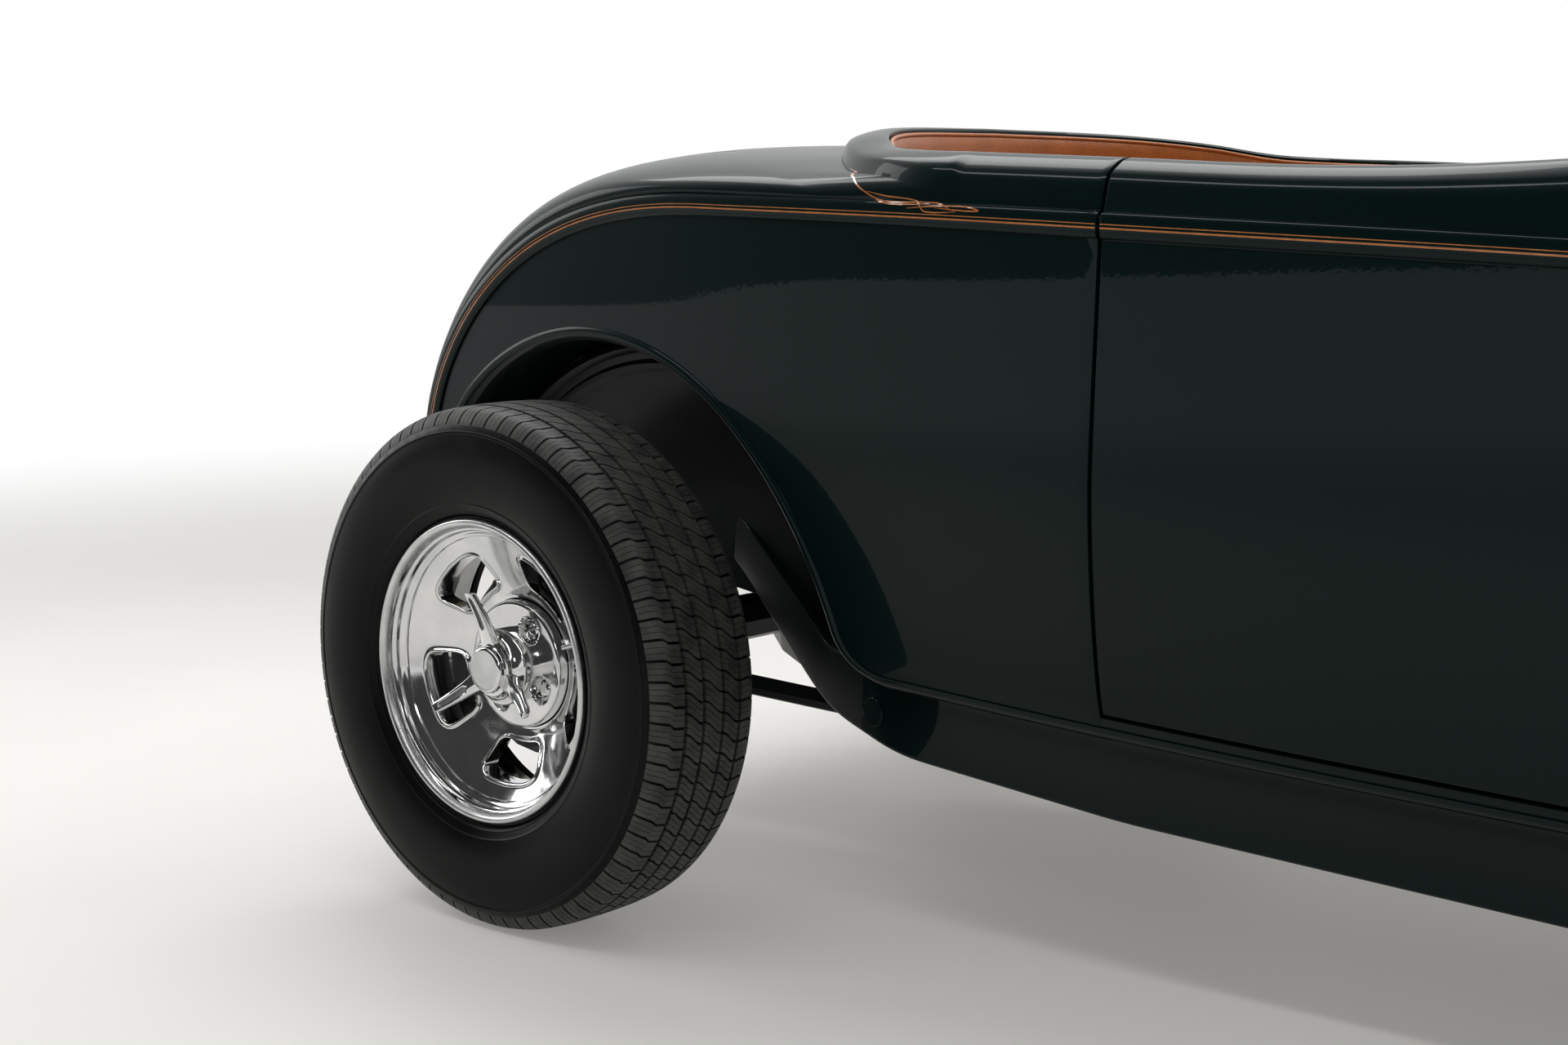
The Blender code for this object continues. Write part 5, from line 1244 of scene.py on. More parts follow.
wb = car["wheelBase"]
frontR = tyreLook["front"]["radius"]
# Name and node, body, radius, material, tipped or level, bent or straight, route
tubeRuns = []
for side, word in ((1, "left"), (-1, "right")):
    route = ((firewallX + 0.306, 0.262, 0.520), (firewallX + 0.126, 0.268, 0.400),
             (firewallX - 0.094, 0.250, 0.372), (1.500, 0.250, 0.372), (1.00, 0.250, 0.372),
             (0.520, 0.250, 0.372), (0.360, 0.262, 0.395), (0.270, 0.270, 0.420), (0.150, 0.275, 0.500),
             (0.000, 0.280, 0.525), (-0.130, 0.345, 0.480), (-0.200, 0.370, 0.440), (-0.330, 0.375, 0.405),
             (-0.455, 0.375, 0.395))
    tubeRuns.append(("exhaust_" + word, "chassis", 0.0215, stainless, tipped, 110,
                     [(x, y * side, z) for x, y, z in route]))
    tubeRuns.append(("radius_rod_" + word, "chassis", 0.012, chrome, levelPlace, 0,
                     [(wb - 0.0226, side * 0.420, 0.303), (2.000, side * 0.4468, 0.255)]))
tubeRuns.append(("driveshaft", "chassis", 0.030, blackSteel, tipped, 0,
                 [(1.2997, 0, 0.390), (0.150, 0, 0.390)]))
tubeRuns.append(("tie_rod", "tie_rod", 0.011, chrome, levelPlace, 0,
                 [(wb - 0.140, -0.597, 0.2267), (wb - 0.140, 0.597, 0.2267)]))


def makeTubes():
    for name, body, radius, look, place, count, route in tubeRuns:
        bm = bmesh.new()
        points = smoothPath(route, count) if count else [Vector(p) for p in route]
        addTube(bm, points, radius, 24)
        made = newPiece(name + "Tube", bm, look, body, place, 50)
        addModifier(made, "BEVEL", width=0.0012, segments=2, limit_method="ANGLE", angle_limit=radians(50))
        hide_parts(name)


makeTubes()


def makeDragLink():
    high = 0.2623
    reach = Vector((-0.205, 0.200 + 0.585, 0))
    start = Vector((wb - 0.175, -0.585, high))
    over = reach.normalized() * 0.012
    bm = bmesh.new()
    addTube(bm, [start - over, start + reach + over], 0.011, 24)
    made = newPiece("dragLinkTube", bm, chrome, "drag_link", levelPlace, 50)
    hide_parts("drag_link")


makeDragLink()


def makeFrontBeam():    # dropped tube axle with its king pin bosses
    half = ((0.575, frontR), (0.540, frontR), (0.500, frontR - 0.003), (0.440, frontR - 0.030),
            (0.400, frontR - 0.056), (0.360, frontR - 0.076), (0.310, frontR - 0.080),
            (0.150, frontR - 0.080))
    route = [(wb, -y, z) for y, z in half] + [(wb, y, z) for y, z in reversed(half)]
    bm = bmesh.new()
    addTube(bm, smoothPath(route, 90), 0.0215, 28)
    for side in (1, -1):
        addTube(bm, [(wb, side * 0.585, 0.2952), (wb, side * 0.585, 0.3648)], 0.022, 28)
    made = newPiece("frontAxleBeam", bm, chrome, "chassis", levelPlace, 45)
    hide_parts("front_axle")


makeFrontBeam()
print("stage: chassis")


# Cabin: hide lining with studs, bench seat, dials, steering wheel

lining = {"top": 0.011, "welt": 0.0032, "studEvery": 0.205, "studR": 0.0062, "studDrop": 0.052, "floor": 0.30}


def liningColumn(lip, inward, top, low):    # from under the coaming's lip down the inner wall
    column = []
    for share, out in ((0.0, 0.0010), (0.02, 0.0042), (0.06, 0.0060), (0.14, 0.0066), (0.25, 0.0062),
                       (0.45, 0.0040), (0.70, -0.0010), (1.0, -0.0060)):
        spot = lip + inward * out
        column.append(Vector((spot.x, spot.y, top - lining["top"] - low * share)))
    return column


def rearLipPath():    # the coaming's inner edge from the centre line to the door: place, way in, top
    path = []
    straight = halfWidth(lipSize["sideX"]) - car["lipIn"]
    for s in spread(1.0, 0.0, 60):
        lip = lipPoint(s)
        inward = Vector((sin(s * pi / 2) / (lipSize["sideX"] - lipSize["backX"]), -cos(s * pi / 2) / straight,
                         0))
        path.append((lip, inward.normalized(), lip.z))
    for x in spread(lipSize["sideX"], shutX - gap / 2, 16)[1:]:
        path.append((Vector((x, halfWidth(x) - car["lipIn"], 0)), Vector((0, -1, 0)), railHeight(x)))
    return path


def doorLipPath():
    return [(Vector((x, halfWidth(x) - car["lipIn"] - 0.001, 0)), Vector((0, -1, 0)), railHeight(x))
            for x in spread(shutX + gap / 2 + 0.002, frontX - gap / 2 - 0.002, 34)]


def makeLining(name, body, path, low, sides):
    bm = bmesh.new()
    for side in sides:
        addGrid(bm, [flipY(liningColumn(lip, inward, top, low), side) for lip, inward, top in path])
    bmesh.ops.recalc_face_normals(bm, faces=bm.faces[:])
    weld(bm, 0.0003)
    made = newPiece(name, bm, leather, body, tipped, 40)
    addModifier(made, "SOLIDIFY", thickness=0.003, offset=1.0)
    # Welt along the top edge, and upholstery studs sunk in the hide
    bm = bmesh.new()
    for side in sides:
        line = [lip + inward * 0.0045 + Vector((0, 0, top - lining["top"] - lip.z + 0.0005))
                for lip, inward, top in path]
        addTube(bm, flipY(line, side), lining["welt"], 10)
        run = lining["studEvery"] * 0.45
        for a, b in zip(path, path[1:]):
            run += (b[0].xy - a[0].xy).length
            if run >= lining["studEvery"]:
                run -= lining["studEvery"]
                spot = b[0] + b[1] * 0.0088 + Vector((0, 0,
                                                      b[2] - lining["top"] - lining["studDrop"] - b[0].z))
                addStud(bm, flipY([spot], side)[0], Vector((b[1].x, b[1].y * side, 0)))
    newPiece(name + "_trim", bm, leather, body, tipped, 60)


def addStud(bm, spot, way):    # a covered button: a low dome in a dimple ring
    turn = way.to_track_quat("Z", "Y").to_matrix().to_4x4()
    place = Matrix.Translation(spot) @ turn
    r = lining["studR"]
    profile = [(r * 1.7, -0.0030), (r * 1.45, -0.0008), (r * 1.15, -0.0016), (r, -0.0022),
               (r * 0.96, -0.0004), (r * 0.80, 0.0010), (r * 0.45, 0.0020), (0.0, 0.0023)]
    addGrid(bm, [[place @ p for p in row] for row in turnedRows(profile, 20)], closed=True)


makeLining("liningRear", "chassis", rearLipPath(), 0.26, (1, -1))
for side, word in ((1, "left"), (-1, "right")):
    makeLining("liningDoor_" + word, "door_" + word, doorLipPath(), 0.034, (side,))


def makeDoorCard(word, side):    # padded hide panel on the door's inner wall, in three sewn fields
    rows = []
    xs = spread(shutX + 0.030, frontX - 0.030, 90)
    zs = spread(0.500, railZ - 0.075, 60)
    edgeX = (xs[0], xs[0] + (xs[-1] - xs[0]) / 3, xs[0] + 2 * (xs[-1] - xs[0]) / 3, xs[-1])
    for x in xs:
        row = []
        for z in zs:
            near = min(min(abs(x - e) for e in edgeX), z - zs[0], zs[-1] - z)
            puff = 0.0075 * (1 - math.exp(-near / 0.010))
            row.append(Vector((x, side * (skinY(x, z) - doorThick - 0.0006 - puff), z)))
        rows.append(row)
    bm = bmesh.new()
    addGrid(bm, rows)
    bmesh.ops.recalc_face_normals(bm, faces=bm.faces[:])
    if sum(f.normal.y for f in bm.faces) * side > 0:
        bmesh.ops.reverse_faces(bm, faces=bm.faces[:])
    newPiece("doorCard_" + word, bm, leather, "door_" + word, tipped, 60)


for side, word in ((1, "left"), (-1, "right")):
    makeDoorCard(word, side)

seat = {"backX": 0.400, "depth": 0.520, "half": halfWidth(shutX) - doorThick - 0.083, "top": 0.720,
        "thick": 0.110, "backTop": 1.090, "front": 0.670, "pleat": 0.072, "groove": 0.0095, "voxel": 0.0065,
        "pressure": 4.0, "cap": 0.012, "inset": 0.011}


def puffed(made):    # closed form remeshed and blown up as cloth, then set as plain mesh
    addModifier(made, "REMESH", mode="VOXEL", voxel_size=seat["voxel"])
    bpy.context.view_layer.update()
    mesh = bpy.data.meshes.new_from_object(made.evaluated_get(bpy.context.evaluated_depsgraph_get()))
    made.modifiers.clear()
    made.data = mesh
    mesh.materials.clear()
    mesh.materials.append(leather)
    rest = [v.co.copy() for v in mesh.vertices]
    cloth = addModifier(made, "CLOTH")
    cloth.settings.use_pressure = True
    cloth.settings.uniform_pressure_force = seat["pressure"]
    cloth.settings.effector_weights.gravity = 0.0
    cloth.settings.quality = 4
    cloth.collision_settings.use_collision = False
    for step in range(1, 21):
        bpy.context.scene.frame_set(step)
    blown = made.evaluated_get(bpy.context.evaluated_depsgraph_get())
    spots = [v.co.copy() for v in blown.data.vertices]
    made.modifiers.clear()
    for v, was, now in zip(mesh.vertices, rest, spots):
        move = now - was
        v.co = was + move * min(1.0, seat["cap"] / max(move.length, 1e-9))
    bpy.context.scene.frame_set(1)
    return mesh


def pleated(mesh, low, high):    # tuck and roll: sewn channels run fore and aft across the face
    inverse = tipped.inverted()
    normals = [v.normal.copy() for v in mesh.vertices]
    for v, normal in zip(mesh.vertices, normals):
        spot = inverse @ v.co
        across = (spot.y / seat["pleat"] + 0.5) % 1.0 - 0.5
        groove = math.exp(-(abs(across) * seat["pleat"] / 0.0065) ** 2)
        inside = max(0.0, min(1.0, (seat["half"] - 0.035 - abs(spot.y)) / 0.01))
        v.co -= normal * seat["groove"] * groove * inside * max(0.0, min(1.0, (spot.z - low) / (high - low)))


def makeSeats():
    front, inset = seat["front"], seat["inset"]
    low = seat["top"] - seat["thick"]
    half = seat["half"] - inset
    # Cushion, then back: side view outlines inside the solids that they replace
    cushion = [(front + 0.005 + inset, low + 0.004), (front + seat["depth"] - inset, low + 0.004),
               (front + seat["depth"] - inset, seat["top"] - inset - 0.016),
               (front + seat["depth"] - inset - 0.03, seat["top"] - inset),
               (front + 0.005 + inset, seat["top"] - inset - 0.004)]
    back = [(front - inset, low + 0.006), (front - 0.130 + inset, low + 0.006),
            (seat["backX"] - 0.02 + inset, seat["backTop"] - 0.045),
            (seat["backX"] + 0.012, seat["backTop"] - inset),
            (seat["backX"] + 0.055, seat["backTop"] - inset - 0.006),
            (seat["backX"] + 0.070 - 0.004, seat["backTop"] - 0.035)]
    # Piece, node, outline, and the heights between which the pleats fade in
    bench = (("benchCushion", "seat_cushion", cushion, seat["top"] - 0.035, seat["top"] - 0.020),
             ("benchBack", "seat_back", back, low + 0.10, low + 0.14))
    for name, node, outline, pleatLow, pleatHigh in bench:
        bm = bmesh.new()
        closedLoft(bm, [[Vector((x, y, z)) for x, z in outline] for y in spread(-half, half, 8)])
        made = newPiece(name, bm, leather, "chassis", tipped, 60)
        addModifier(made, "BEVEL", width=0.024, segments=4, limit_method="ANGLE", angle_limit=radians(25))
        mesh = puffed(made)
        pleated(mesh, pleatLow, pleatHigh)
        mesh.shade_smooth()
        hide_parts(node)


makeSeats()
print("stage: seats")

dials = {"x": frontX + gap / 2 + (car["cowlLength"] - gap / 2) / 3 - 0.007, "z": 1.035,
         "ys": (-0.17, -0.06, 0.06, 0.19, 0.35), "radii": (0.030, 0.030, 0.030, 0.043, 0.043)}


def makeDials():    # cream dials with chrome bezels, ticks and a needle, on the dash's rear face
    bezel, face, marks = bmesh.new(), bmesh.new(), bmesh.new()
    for y, r in zip(dials["ys"], dials["radii"]):
        place = Matrix.Translation((dials["x"], y, dials["z"])) @ Matrix.Rotation(-pi / 2, 4, "Y")
        ring = [(r + 0.004, 0.0), (r + 0.004, 0.005), (r + 0.002, 0.008), (r - 0.001, 0.0085),
                (r - 0.002, 0.006), (r - 0.002, 0.0015)]
        addGrid(bezel, [[place @ p for p in row] for row in turnedRows(ring, 48)], closed=True)
        addGrid(face, [[place @ p for p in row]
                       for row in turnedRows([(r - 0.0018, 0.0018), (0.0, 0.0018)], 48)], closed=True)
        for k in range(21):
            a = radians(-45 + 13.5 * k)
            turned = place @ Matrix.Rotation(a, 4, "Z")
            addBox(marks, (r * (0.72 if k % 5 == 0 else 0.80), -0.0005, 0.0018), (r * 0.88, 0.0005, 0.0022),
                   turned)
        addBox(marks, (-0.006, -0.0008, 0.0026), (r * 0.74, 0.0008, 0.0032),
               place @ Matrix.Rotation(radians(-45 + 40), 4, "Z"))
    newPiece("dialBezels", bezel, chrome, "chassis", tipped, 40)
    newPiece("dialFaces", face, dialFace, "chassis", tipped, 40)
    newPiece("dialMarks", marks, blackSteel, "chassis", tipped, 40)


makeDials()

steering = {"x": 1.330, "y": 0.270, "z": 0.985, "tilt": 38.0, "rimR": 0.180, "grip": 0.0118}


def makeSteeringWheel():    # hide-wrapped rim on three drilled, polished spokes
    place = tipped @ Matrix.Translation((steering["x"], steering["y"], steering["z"])) @ \
        Matrix.Rotation(radians(90 + steering["tilt"]) - pi, 4, "Y")
    bm = bmesh.new()
    ring = [Vector((steering["rimR"] * cos(a), steering["rimR"] * sin(a), 0))
            for a in (2 * pi * k / 96 for k in range(96))]
    addTube(bm, ring, [steering["grip"] * (1 + 0.035 * cos(18 * 2 * pi * k / 96)) for k in range(96)], 18,
            cyclic=True)
    made = newPiece("steeringRim", bm, leather, "steering_wheel", place, 60)
    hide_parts("steering_wheel")
    bm = bmesh.new()
    boss = [(0.0279, -0.018), (0.0279, -0.002), (0.0270, 0.004), (0.0240, 0.011), (0.0200, 0.0150),
            (0.0120, 0.0158), (0.0, 0.0160)]
    addGrid(bm, turnedRows(boss, 48), closed=True)
    for k in range(3):
        a = radians(90 + 120 * k)
        rows = []
        for i, r in enumerate(spread(0.020, steering["rimR"] - 0.006, 60)):
            half = 0.0118 - 0.002 * sin(pi * (r - 0.02) / 0.15)
            hole = 0.0
            for centre in (0.060, 0.088, 0.116, 0.144):
                d = abs(r - centre)
                if d < 0.0062:
                    hole = sqrt(0.0062 ** 2 - d * d)
            rows.append((r, half, max(0.0003, hole)))
        for side in (1, -1):
            for z in (0.0028, -0.0028):
                verts = [[bm.verts.new((r * cos(a) - w * sin(a), r * sin(a) + w * cos(a), z))
                          for w in (side * hole, side * half)]
                         for r, half, hole in rows]
                for p, q in zip(verts, verts[1:]):
                    bm.faces.new((p[0], p[1], q[1], q[0]))
            for pick in (1, 2):
                verts = [[bm.verts.new((row[0] * cos(a) - side * row[pick] * sin(a),
                                        row[0] * sin(a) + side * row[pick] * cos(a), z))
                          for z in (0.0028, -0.0028)] for row in rows]
                for p, q in zip(verts, verts[1:]):
                    bm.faces.new((p[0], p[1], q[1], q[0]))
    bmesh.ops.recalc_face_normals(bm, faces=bm.faces[:])
    newPiece("steeringSpokes", bm, aluminium, "steering_wheel", place, 40)
    bm = bmesh.new()
    along = Vector((cos(radians(steering["tilt"])), 0, -sin(radians(steering["tilt"]))))
    hub = Vector((steering["x"], steering["y"], steering["z"]))
    addTube(bm, [hub + along * 0.0185, hub + along * 0.6908], 0.0188, 28)
    made = newPiece("columnTube", bm, chrome, "chassis", tipped, 50)
    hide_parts("steering_column")


makeSteeringWheel()


def makeCarpet():    # cut-pile carpet on the pan ahead of the seat, bound at its edges
    bm = bmesh.new()
    rng = random.Random(5)
    rows = []
    for x in spread(1.215, 1.660, 70):
        row = []
        for y in spread(0.126, 0.429, 44):
            pile = 0.004 * min(1.0, (0.43 - y) / 0.01, (y - 0.125) / 0.01)    # rounded off at the bound edges
            row.append(Vector((x, y, 0.4505 + pile + 0.0006 * rng.random())))
        rows.append(row)
    for side in (1, -1):
        addGrid(bm, [flipY(row, side) for row in rows])
    bmesh.ops.recalc_face_normals(bm, faces=bm.faces[:])
    newPiece("carpetMats", bm, carpet, "chassis", tipped, 60)


makeCarpet()
print("stage: cabin")


# Lamps

headlamp = {"x": shellX + 0.216, "y": 0.425, "z": 0.800, "r": 0.092, "frameTop": 0.53728}


def makeLamps():
    for side, word in ((1, "left"), (-1, "right")):
        spot = Vector((headlamp["x"], side * headlamp["y"], headlamp["z"]))
        place = levelPlace @ Matrix.Translation(spot) @ Matrix.Rotation(pi / 2, 4, "Y")
        r = headlamp["r"]
        bm = bmesh.new()
        # Bucket, bezel ring and reflector
        bowl = [(0.0, -0.1075), (0.020, -0.1055), (0.040, -0.099), (0.058, -0.086), (0.072, -0.068),
                (0.082, -0.048), (0.088, -0.026), (0.0905, -0.010), (0.0925, -0.006), (0.0955, -0.002),
                (0.0958, 0.006), (0.0945, 0.013), (0.0915, 0.018), (0.0870, 0.0195), (0.0850, 0.0170),
                (0.0845, 0.012)]
        addGrid(bm, turnedRows(bowl, 72), closed=True)
        addGrid(bm, turnedRows([(0.0846, 0.010), (0.070, -0.010), (0.045, -0.032), (0.018, -0.045),
                                (0.0, -0.047)], 48), closed=True)
        bmesh.ops.recalc_face_normals(bm, faces=bm.faces[:])
        made = newPiece("headlamp_" + word + "_bucket", bm, chrome, "chassis", place, 35)
        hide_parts("headlamp_" + word)
        bm = bmesh.new()
        rows = []
        for k in range(96):
            a = 2 * pi * k / 96
            row = []
            for q in spread(0.0846, 0.0, 16):
                flute = 0.0007 * sin(q * sin(a) / 0.0035) * min(1.0, q / 0.01)
                row.append(Vector((q * cos(a), q * sin(a), 0.0175 + 0.030 * (1 - (q / 0.0846) ** 2) + flute)))
            rows.append(row)
        addGrid(bm, rows, closed=True)
        bmesh.ops.recalc_face_normals(bm, faces=bm.faces[:])
        made = newPiece("headlamp_" + word + "_lens", bm, glass, "chassis", place, 60)
        addModifier(made, "SOLIDIFY", thickness=0.003, offset=-1.0)
    # Lamp bar with its posts
    x, foot = headlamp["x"], headlamp["frameTop"] - headlamp["x"] * math.tan(radians(car["rake"]))
    bm = bmesh.new()
    for side in (1, -1):
        post = [(x - 0.02, -side * 0.302, foot), (x - 0.02, -side * 0.345, 0.560),
                (x, -side * headlamp["y"], headlamp["z"] - headlamp["r"] - 0.045),
                (x, -side * headlamp["y"], headlamp["z"] - headlamp["r"] - 0.0044)]
        addTube(bm, smoothPath(post, 24), 0.0135, 20)
    addTube(bm, [(x - 0.02, -0.345, 0.560), (x - 0.02, 0.345, 0.560)], 0.012, 20)
    made = newPiece("lampBar", bm, chrome, "chassis", levelPlace, 50)
    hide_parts("headlamp_bar")
    # Round tail lamps on the tail's upper corners
    for side, word in ((1, "left"), (-1, "right")):
        u, s = -0.76, 0.50
        here = deckPoint(u, s)
        across = deckPoint(u, s + 0.01) - deckPoint(u, s - 0.01)
        along = deckPoint(u - 0.01, s) - deckPoint(u + 0.01, s)
        normal = across.cross(along).normalized()
        if normal.x > 0:
            normal = -normal
        here, normal = Vector((here.x, here.y * side, here.z)), Vector((normal.x, normal.y * side, normal.z))
        turned = normal.to_track_quat("Z", "Y").to_matrix().to_4x4()
        place = tipped @ Matrix.Translation(here + normal * 0.0006) @ turned
        bm = bmesh.new()
        addGrid(bm, turnedRows([(0.0300, -0.006), (0.0360, -0.004), (0.0362, 0.002), (0.0350, 0.008),
                                (0.0325, 0.0115), (0.0300, 0.0120), (0.0292, 0.0100)], 64), closed=True)
        bmesh.ops.recalc_face_normals(bm, faces=bm.faces[:])
        made = newPiece("tailLamp_" + word + "_ring", bm, chrome, "chassis", place, 35)
        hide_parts("tail_lamp_" + word)
        bm = bmesh.new()
        rows = []
        for k in range(96):
            a = 2 * pi * k / 96
            rows.append([Vector((q * cos(a), q * sin(a), 0.0095 + 0.0225 * (1 - (q / 0.0295) ** 2) ** 0.8
                                 + 0.0006 * cos(q / 0.0295 * 30)))
                         for q in spread(0.0295, 0.0, 20)])
        addGrid(bm, rows, closed=True)
        bmesh.ops.recalc_face_normals(bm, faces=bm.faces[:])
        newPiece("tailLamp_" + word + "_lens", bm, redLens, "chassis", place, 60)


makeLamps()


# Pinstripe scroll behind the cockpit: strokes given in side view, laid on the body's skin

scroll = {"wide": 0.0017, "lift": 0.0004}
# Bends picked in the photograph and carried onto the body's side along the camera's rays: x and z,
# to the nearest millimetre
scrollStrokes = (
    ((0.437, 1.121), (0.490, 1.112), (0.530, 1.094), (0.568, 1.080), (0.619, 1.079), (0.648, 1.081)),
    ((0.537, 1.093), (0.572, 1.088), (0.613, 1.085), (0.628, 1.081), (0.641, 1.071), (0.691, 1.072)),
    ((0.543, 1.089), (0.561, 1.083), (0.586, 1.081), (0.638, 1.082), (0.663, 1.081), (0.691, 1.072)),
    ((0.611, 1.074), (0.655, 1.078), (0.707, 1.079), (0.727, 1.075), (0.708, 1.074), (0.656, 1.076)))


def makeScroll():
    body = bpy.data.objects["bodyRear"]
    tree = BVHTree.FromObject(body, bpy.context.evaluated_depsgraph_get())
    bm = bmesh.new()
    for side in (1, -1):
        for stroke in scrollStrokes:
            path = smoothPath([Vector((x, 0, z)) for x, z in stroke], 12 * len(stroke))
            rows = []
            for i, p in enumerate(path):
                before, after = path[max(0, i - 1)], path[min(len(path) - 1, i + 1)]
                along = (after - before).normalized()
                across = Vector((-along.z, 0, along.x))
                taper = min(1.0, 0.25 + 4 * i / len(path), 0.25 + 4 * (len(path) - 1 - i) / len(path))
                row = []
                for t in (-0.5, 0.0, 0.5):
                    spot = p + across * scroll["wide"] * taper * t
                    start = tipped @ Vector((spot.x, side * 0.75, spot.z))
                    hit, normal = tree.ray_cast(start, Vector((0, -side, 0)))[:2]
                    if hit is not None:
                        row.append(hit + (normal if normal.y * side > 0 else -normal) * scroll["lift"])
                if len(row) == 3:
                    rows.append(row)
            addGrid(bm, rows)
    bmesh.ops.recalc_face_normals(bm, faces=bm.faces[:])
    for face in bm.faces:
        if face.normal.y * face.calc_center_median().y < 0:
            face.normal_flip()
    newPiece("pinstripe_scroll", bm, pinstripe, "chassis", None, 60)


makeScroll()
print("stage: lamps and scroll")


# CAD nodes that keep their own shape get their finish, and soft edges

cadLooks = {
    "wellPaintAndShade": ["firewall", "floor", "rear_axle", "seat_base", "fuel_tank"],
    "paint": ["dash"],
    "chrome": ["grille", "hood_hinge", "windshield_frame", "knuckle_left", "knuckle_right"],
    "blackSteel": ["pitman_arm"],
    "castIron": ["engine", "steering_box"],
    "radiatorCore": ["radiator"],
    "glass": ["windshield_glass"],
}
cadFinish = {"wellPaintAndShade": wellPaintAndShade, "paint": paint, "chrome": chrome, "blackSteel": blackSteel,
             "castIron": castIron, "radiatorCore": radiatorCore, "glass": glass}
for look, names in cadLooks.items():
    for name in names:
        made = bpy.data.objects[name]
        made.data.materials.clear()
        made.data.materials.append(cadFinish[look])
        if look != "glass":
            addModifier(made, "BEVEL", width=0.0012, segments=2, limit_method="ANGLE",
                        angle_limit=radians(40))
print("stage: CAD nodes dressed")


# Camera, light and floor, as in the photograph

view = {"ahead": 2.481, "side": -2.908, "height": 1.027, "yaw": 41.79, "pitch": 7.59, "roll": -0.87,
        "lens": 51.99}


def makeCamera():
    yaw, pitch, roll = radians(view["yaw"]), radians(view["pitch"]), radians(view["roll"])
    ahead = Vector((-sin(yaw) * cos(pitch), cos(yaw) * cos(pitch), -sin(pitch)))
    right = ahead.cross(Vector((0, 0, 1))).normalized()
    up = right.cross(ahead)
    turned = right * cos(roll) + up * sin(roll)
    raised = up * cos(roll) - right * sin(roll)
    data = bpy.data.cameras.new("photoCamera")
    data.lens, data.sensor_width = view["lens"], 36.0
    data.clip_start = 0.05
    made = bpy.data.objects.new("photoCamera", data)
    basis = Matrix((turned, raised, -ahead)).transposed().to_4x4()
    made.matrix_world = Matrix.Translation((originX + view["ahead"], view["side"], view["height"])) @ basis
    bpy.context.scene.collection.objects.link(made)
    bpy.context.scene.camera = made


makeCamera()

# Floor colour, room brightness for each kind of ray, and each lamp: place, target, size, power
studio = {
    "floor": "e9e7e3", "reach": 30.0, "dark": 0.05, "bright": 1.0, "fill": 0.34,
    "towards": (-0.5, 0.86, 0.10), "lamps": {
        "stripNear": ((0.3, -2.3, 3.3), (0.2, -0.3, 0.6), (7.0, 0.25), 45.0),
        "boxHigh": ((-0.6, 1.3, 3.6), (0.1, -0.2, 0.6), (7.0, 1.5), 185.0),
        "boxLeft": ((-5.2, -1.6, 2.2), (-1.2, -0.5, 0.5), (1.6, 2.4), 38.0),
        "boxCamera": ((3.6, -5.4, 3.4), (-0.8, -0.4, 0.5), (1.4, 1.0), 22.0),
    },
}


def addArea(name, place, target, size, power):
    data = bpy.data.lights.new(name, "AREA")
    data.shape, data.size, data.size_y, data.energy = "RECTANGLE", size[0], size[1], power
    made = bpy.data.objects.new(name, data)
    made.location = place
    made.rotation_euler = (Vector(target) - Vector(place)).to_track_quat("-Z", "Y").to_euler()
    bpy.context.scene.collection.objects.link(made)


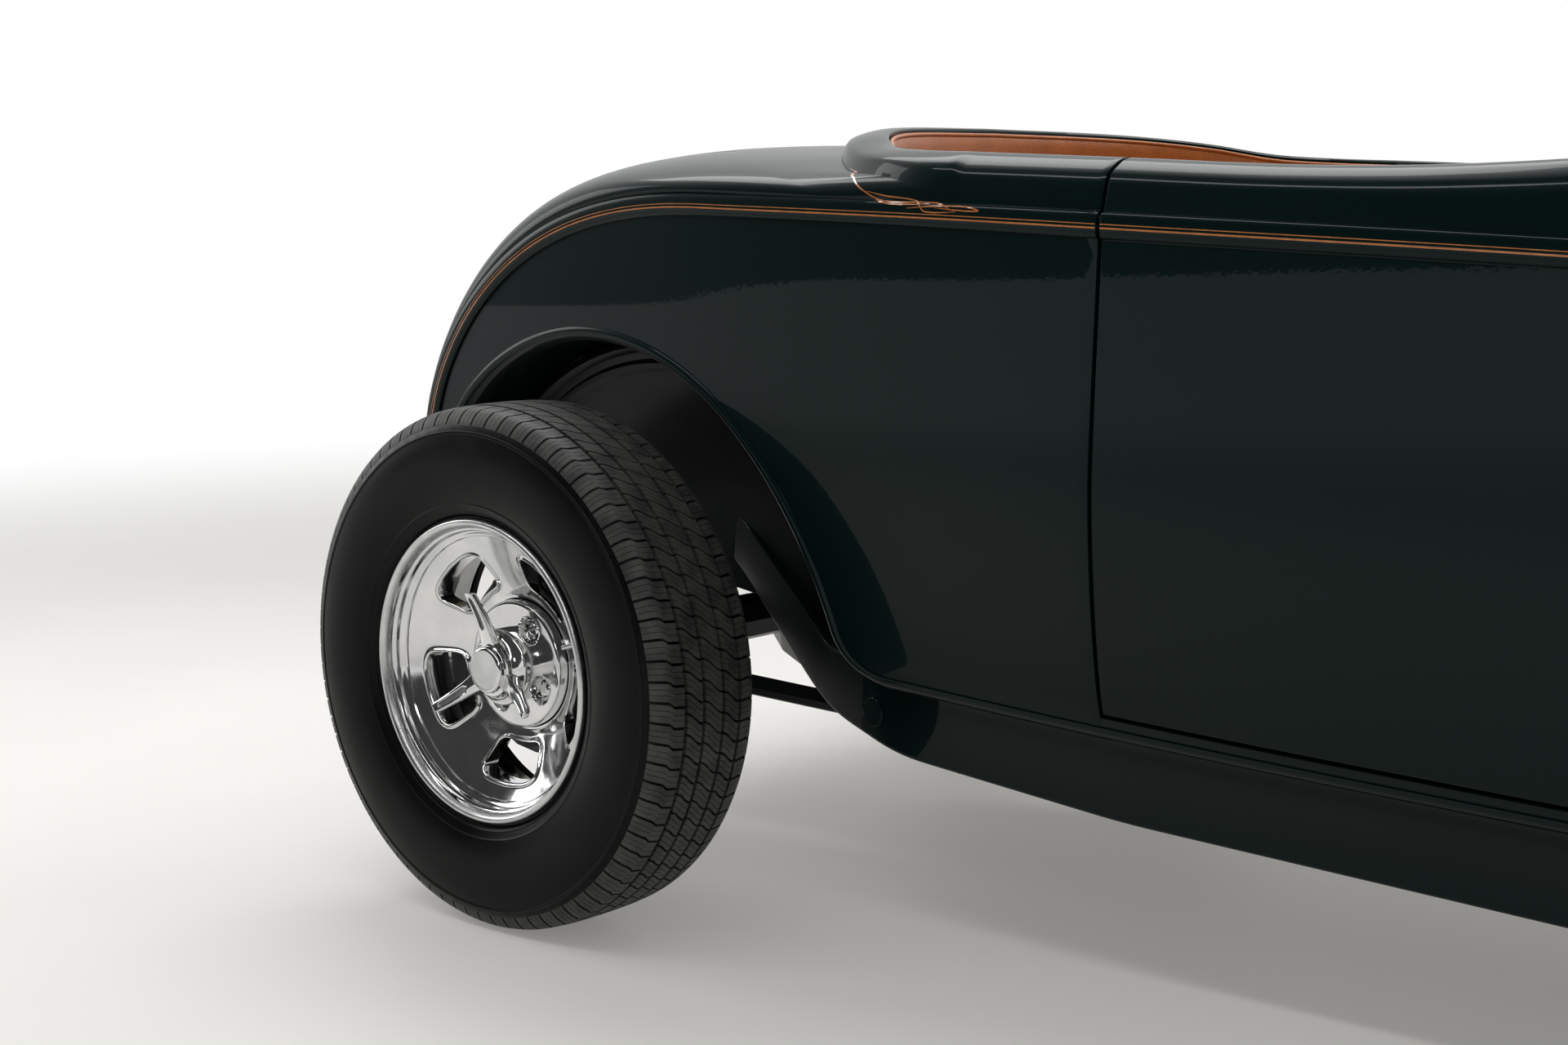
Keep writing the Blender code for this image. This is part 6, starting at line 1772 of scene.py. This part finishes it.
def makeFloor():
    # Painted studio floor, matt and nearly white; the camera and mirrors see it glow, more so further off
    floorPaint, tree, shader = newMaterial("studioFloorPaint", studio["floor"], 0.55)
    varied(tree, shader, "e4e2de", studio["floor"], 1.2)
    path = addNode(tree, "ShaderNodeLightPath")
    seen = addNode(tree, "ShaderNodeMath",
                   {0: path.outputs["Is Camera Ray"], 1: path.outputs["Is Glossy Ray"]},
                   operation="MAXIMUM")
    both = addNode(tree, "ShaderNodeMath", {0: seen.outputs[0], 1: path.outputs["Is Transmission Ray"]},
                   operation="MAXIMUM")
    coords = addNode(tree, "ShaderNodeTexCoord")
    away = addNode(tree, "ShaderNodeVectorMath", {0: coords.outputs["Object"]}, operation="LENGTH")
    far = addNode(tree, "ShaderNodeMapRange", {0: away.outputs["Value"], 1: 2.6, 2: 9.0, 3: 0.25, 4: 1.0},
                  interpolation_type="SMOOTHSTEP")    # the sweep up into the wall, out of the lamps' reach
    part = addNode(tree, "ShaderNodeMath", {0: both.outputs[0], 1: far.outputs[0]}, operation="MULTIPLY")
    tint = addNode(tree, "ShaderNodeValToRGB", {0: far.outputs[0]})
    for element, position, colour in zip(tint.color_ramp.elements, (0.25, 1.0), ("ebe9e5", "ffffff")):
        element.position, element.color = position, hexColour(colour)
    glow = addNode(tree, "ShaderNodeEmission", {"Color": tint.outputs[0], "Strength": 1.0})
    mix = addNode(tree, "ShaderNodeMixShader", {0: part.outputs[0], 1: shader.outputs[0], 2: glow.outputs[0]})
    tree.links.new(mix.outputs[0], tree.nodes["Material Output"].inputs[0])
    bm = bmesh.new()
    half = studio["reach"]
    corners = ((-half, -half), (half, -half), (half, half), (-half, half))
    bm.faces.new([bm.verts.new((x, y, -0.0005)) for x, y in corners])
    mesh = bpy.data.meshes.new("studioFloor")
    bm.to_mesh(mesh)
    bm.free()
    floor = bpy.data.objects.new("studioFloor", mesh)
    mesh.materials.append(floorPaint)
    bpy.context.scene.collection.objects.link(floor)


def makeRoom():
    # White wall beyond the car and to its left, which metal and glass show too; dim on the camera's side
    world = bpy.data.worlds.new("studioRoom")
    bpy.context.scene.world = world
    world.use_nodes = True
    tree = world.node_tree
    tree.nodes.clear()
    path = addNode(tree, "ShaderNodeLightPath")
    coords = addNode(tree, "ShaderNodeTexCoord")
    facing = addNode(tree, "ShaderNodeVectorMath", {0: coords.outputs["Generated"], 1: studio["towards"]},
                     operation="DOT_PRODUCT")
    wall = addNode(tree, "ShaderNodeMapRange",
                   {0: facing.outputs["Value"], 1: 0.02, 2: 0.42, 3: studio["dark"],
                                                4: studio["bright"]}, interpolation_type="SMOOTHSTEP")
    sharp = addNode(tree, "ShaderNodeMath",
                    {0: path.outputs["Is Glossy Ray"], 1: path.outputs["Is Transmission Ray"]},
                    operation="MAXIMUM")
    fill = addNode(tree, "ShaderNodeBackground", {"Color": hexColour("ffffff"), "Strength": studio["fill"]})
    mirror = addNode(tree, "ShaderNodeBackground",
                     {"Color": hexColour("ffffff"), "Strength": wall.outputs[0]})
    seen = addNode(tree, "ShaderNodeBackground", {"Color": hexColour("ffffff"), "Strength": 1.0})
    first = addNode(tree, "ShaderNodeMixShader",
                    {0: sharp.outputs[0], 1: fill.outputs[0], 2: mirror.outputs[0]})
    last = addNode(tree, "ShaderNodeMixShader",
                   {0: path.outputs["Is Camera Ray"], 1: first.outputs[0], 2: seen.outputs[0]})
    addNode(tree, "ShaderNodeOutputWorld", {0: last.outputs[0]})


def makeStudio():
    makeFloor()
    makeRoom()
    for name, (place, target, size, power) in studio["lamps"].items():
        addArea(name, place, target, size, power)
    bpy.context.scene.view_settings.view_transform = "Standard"


makeStudio()
print("stage: camera, light and floor")
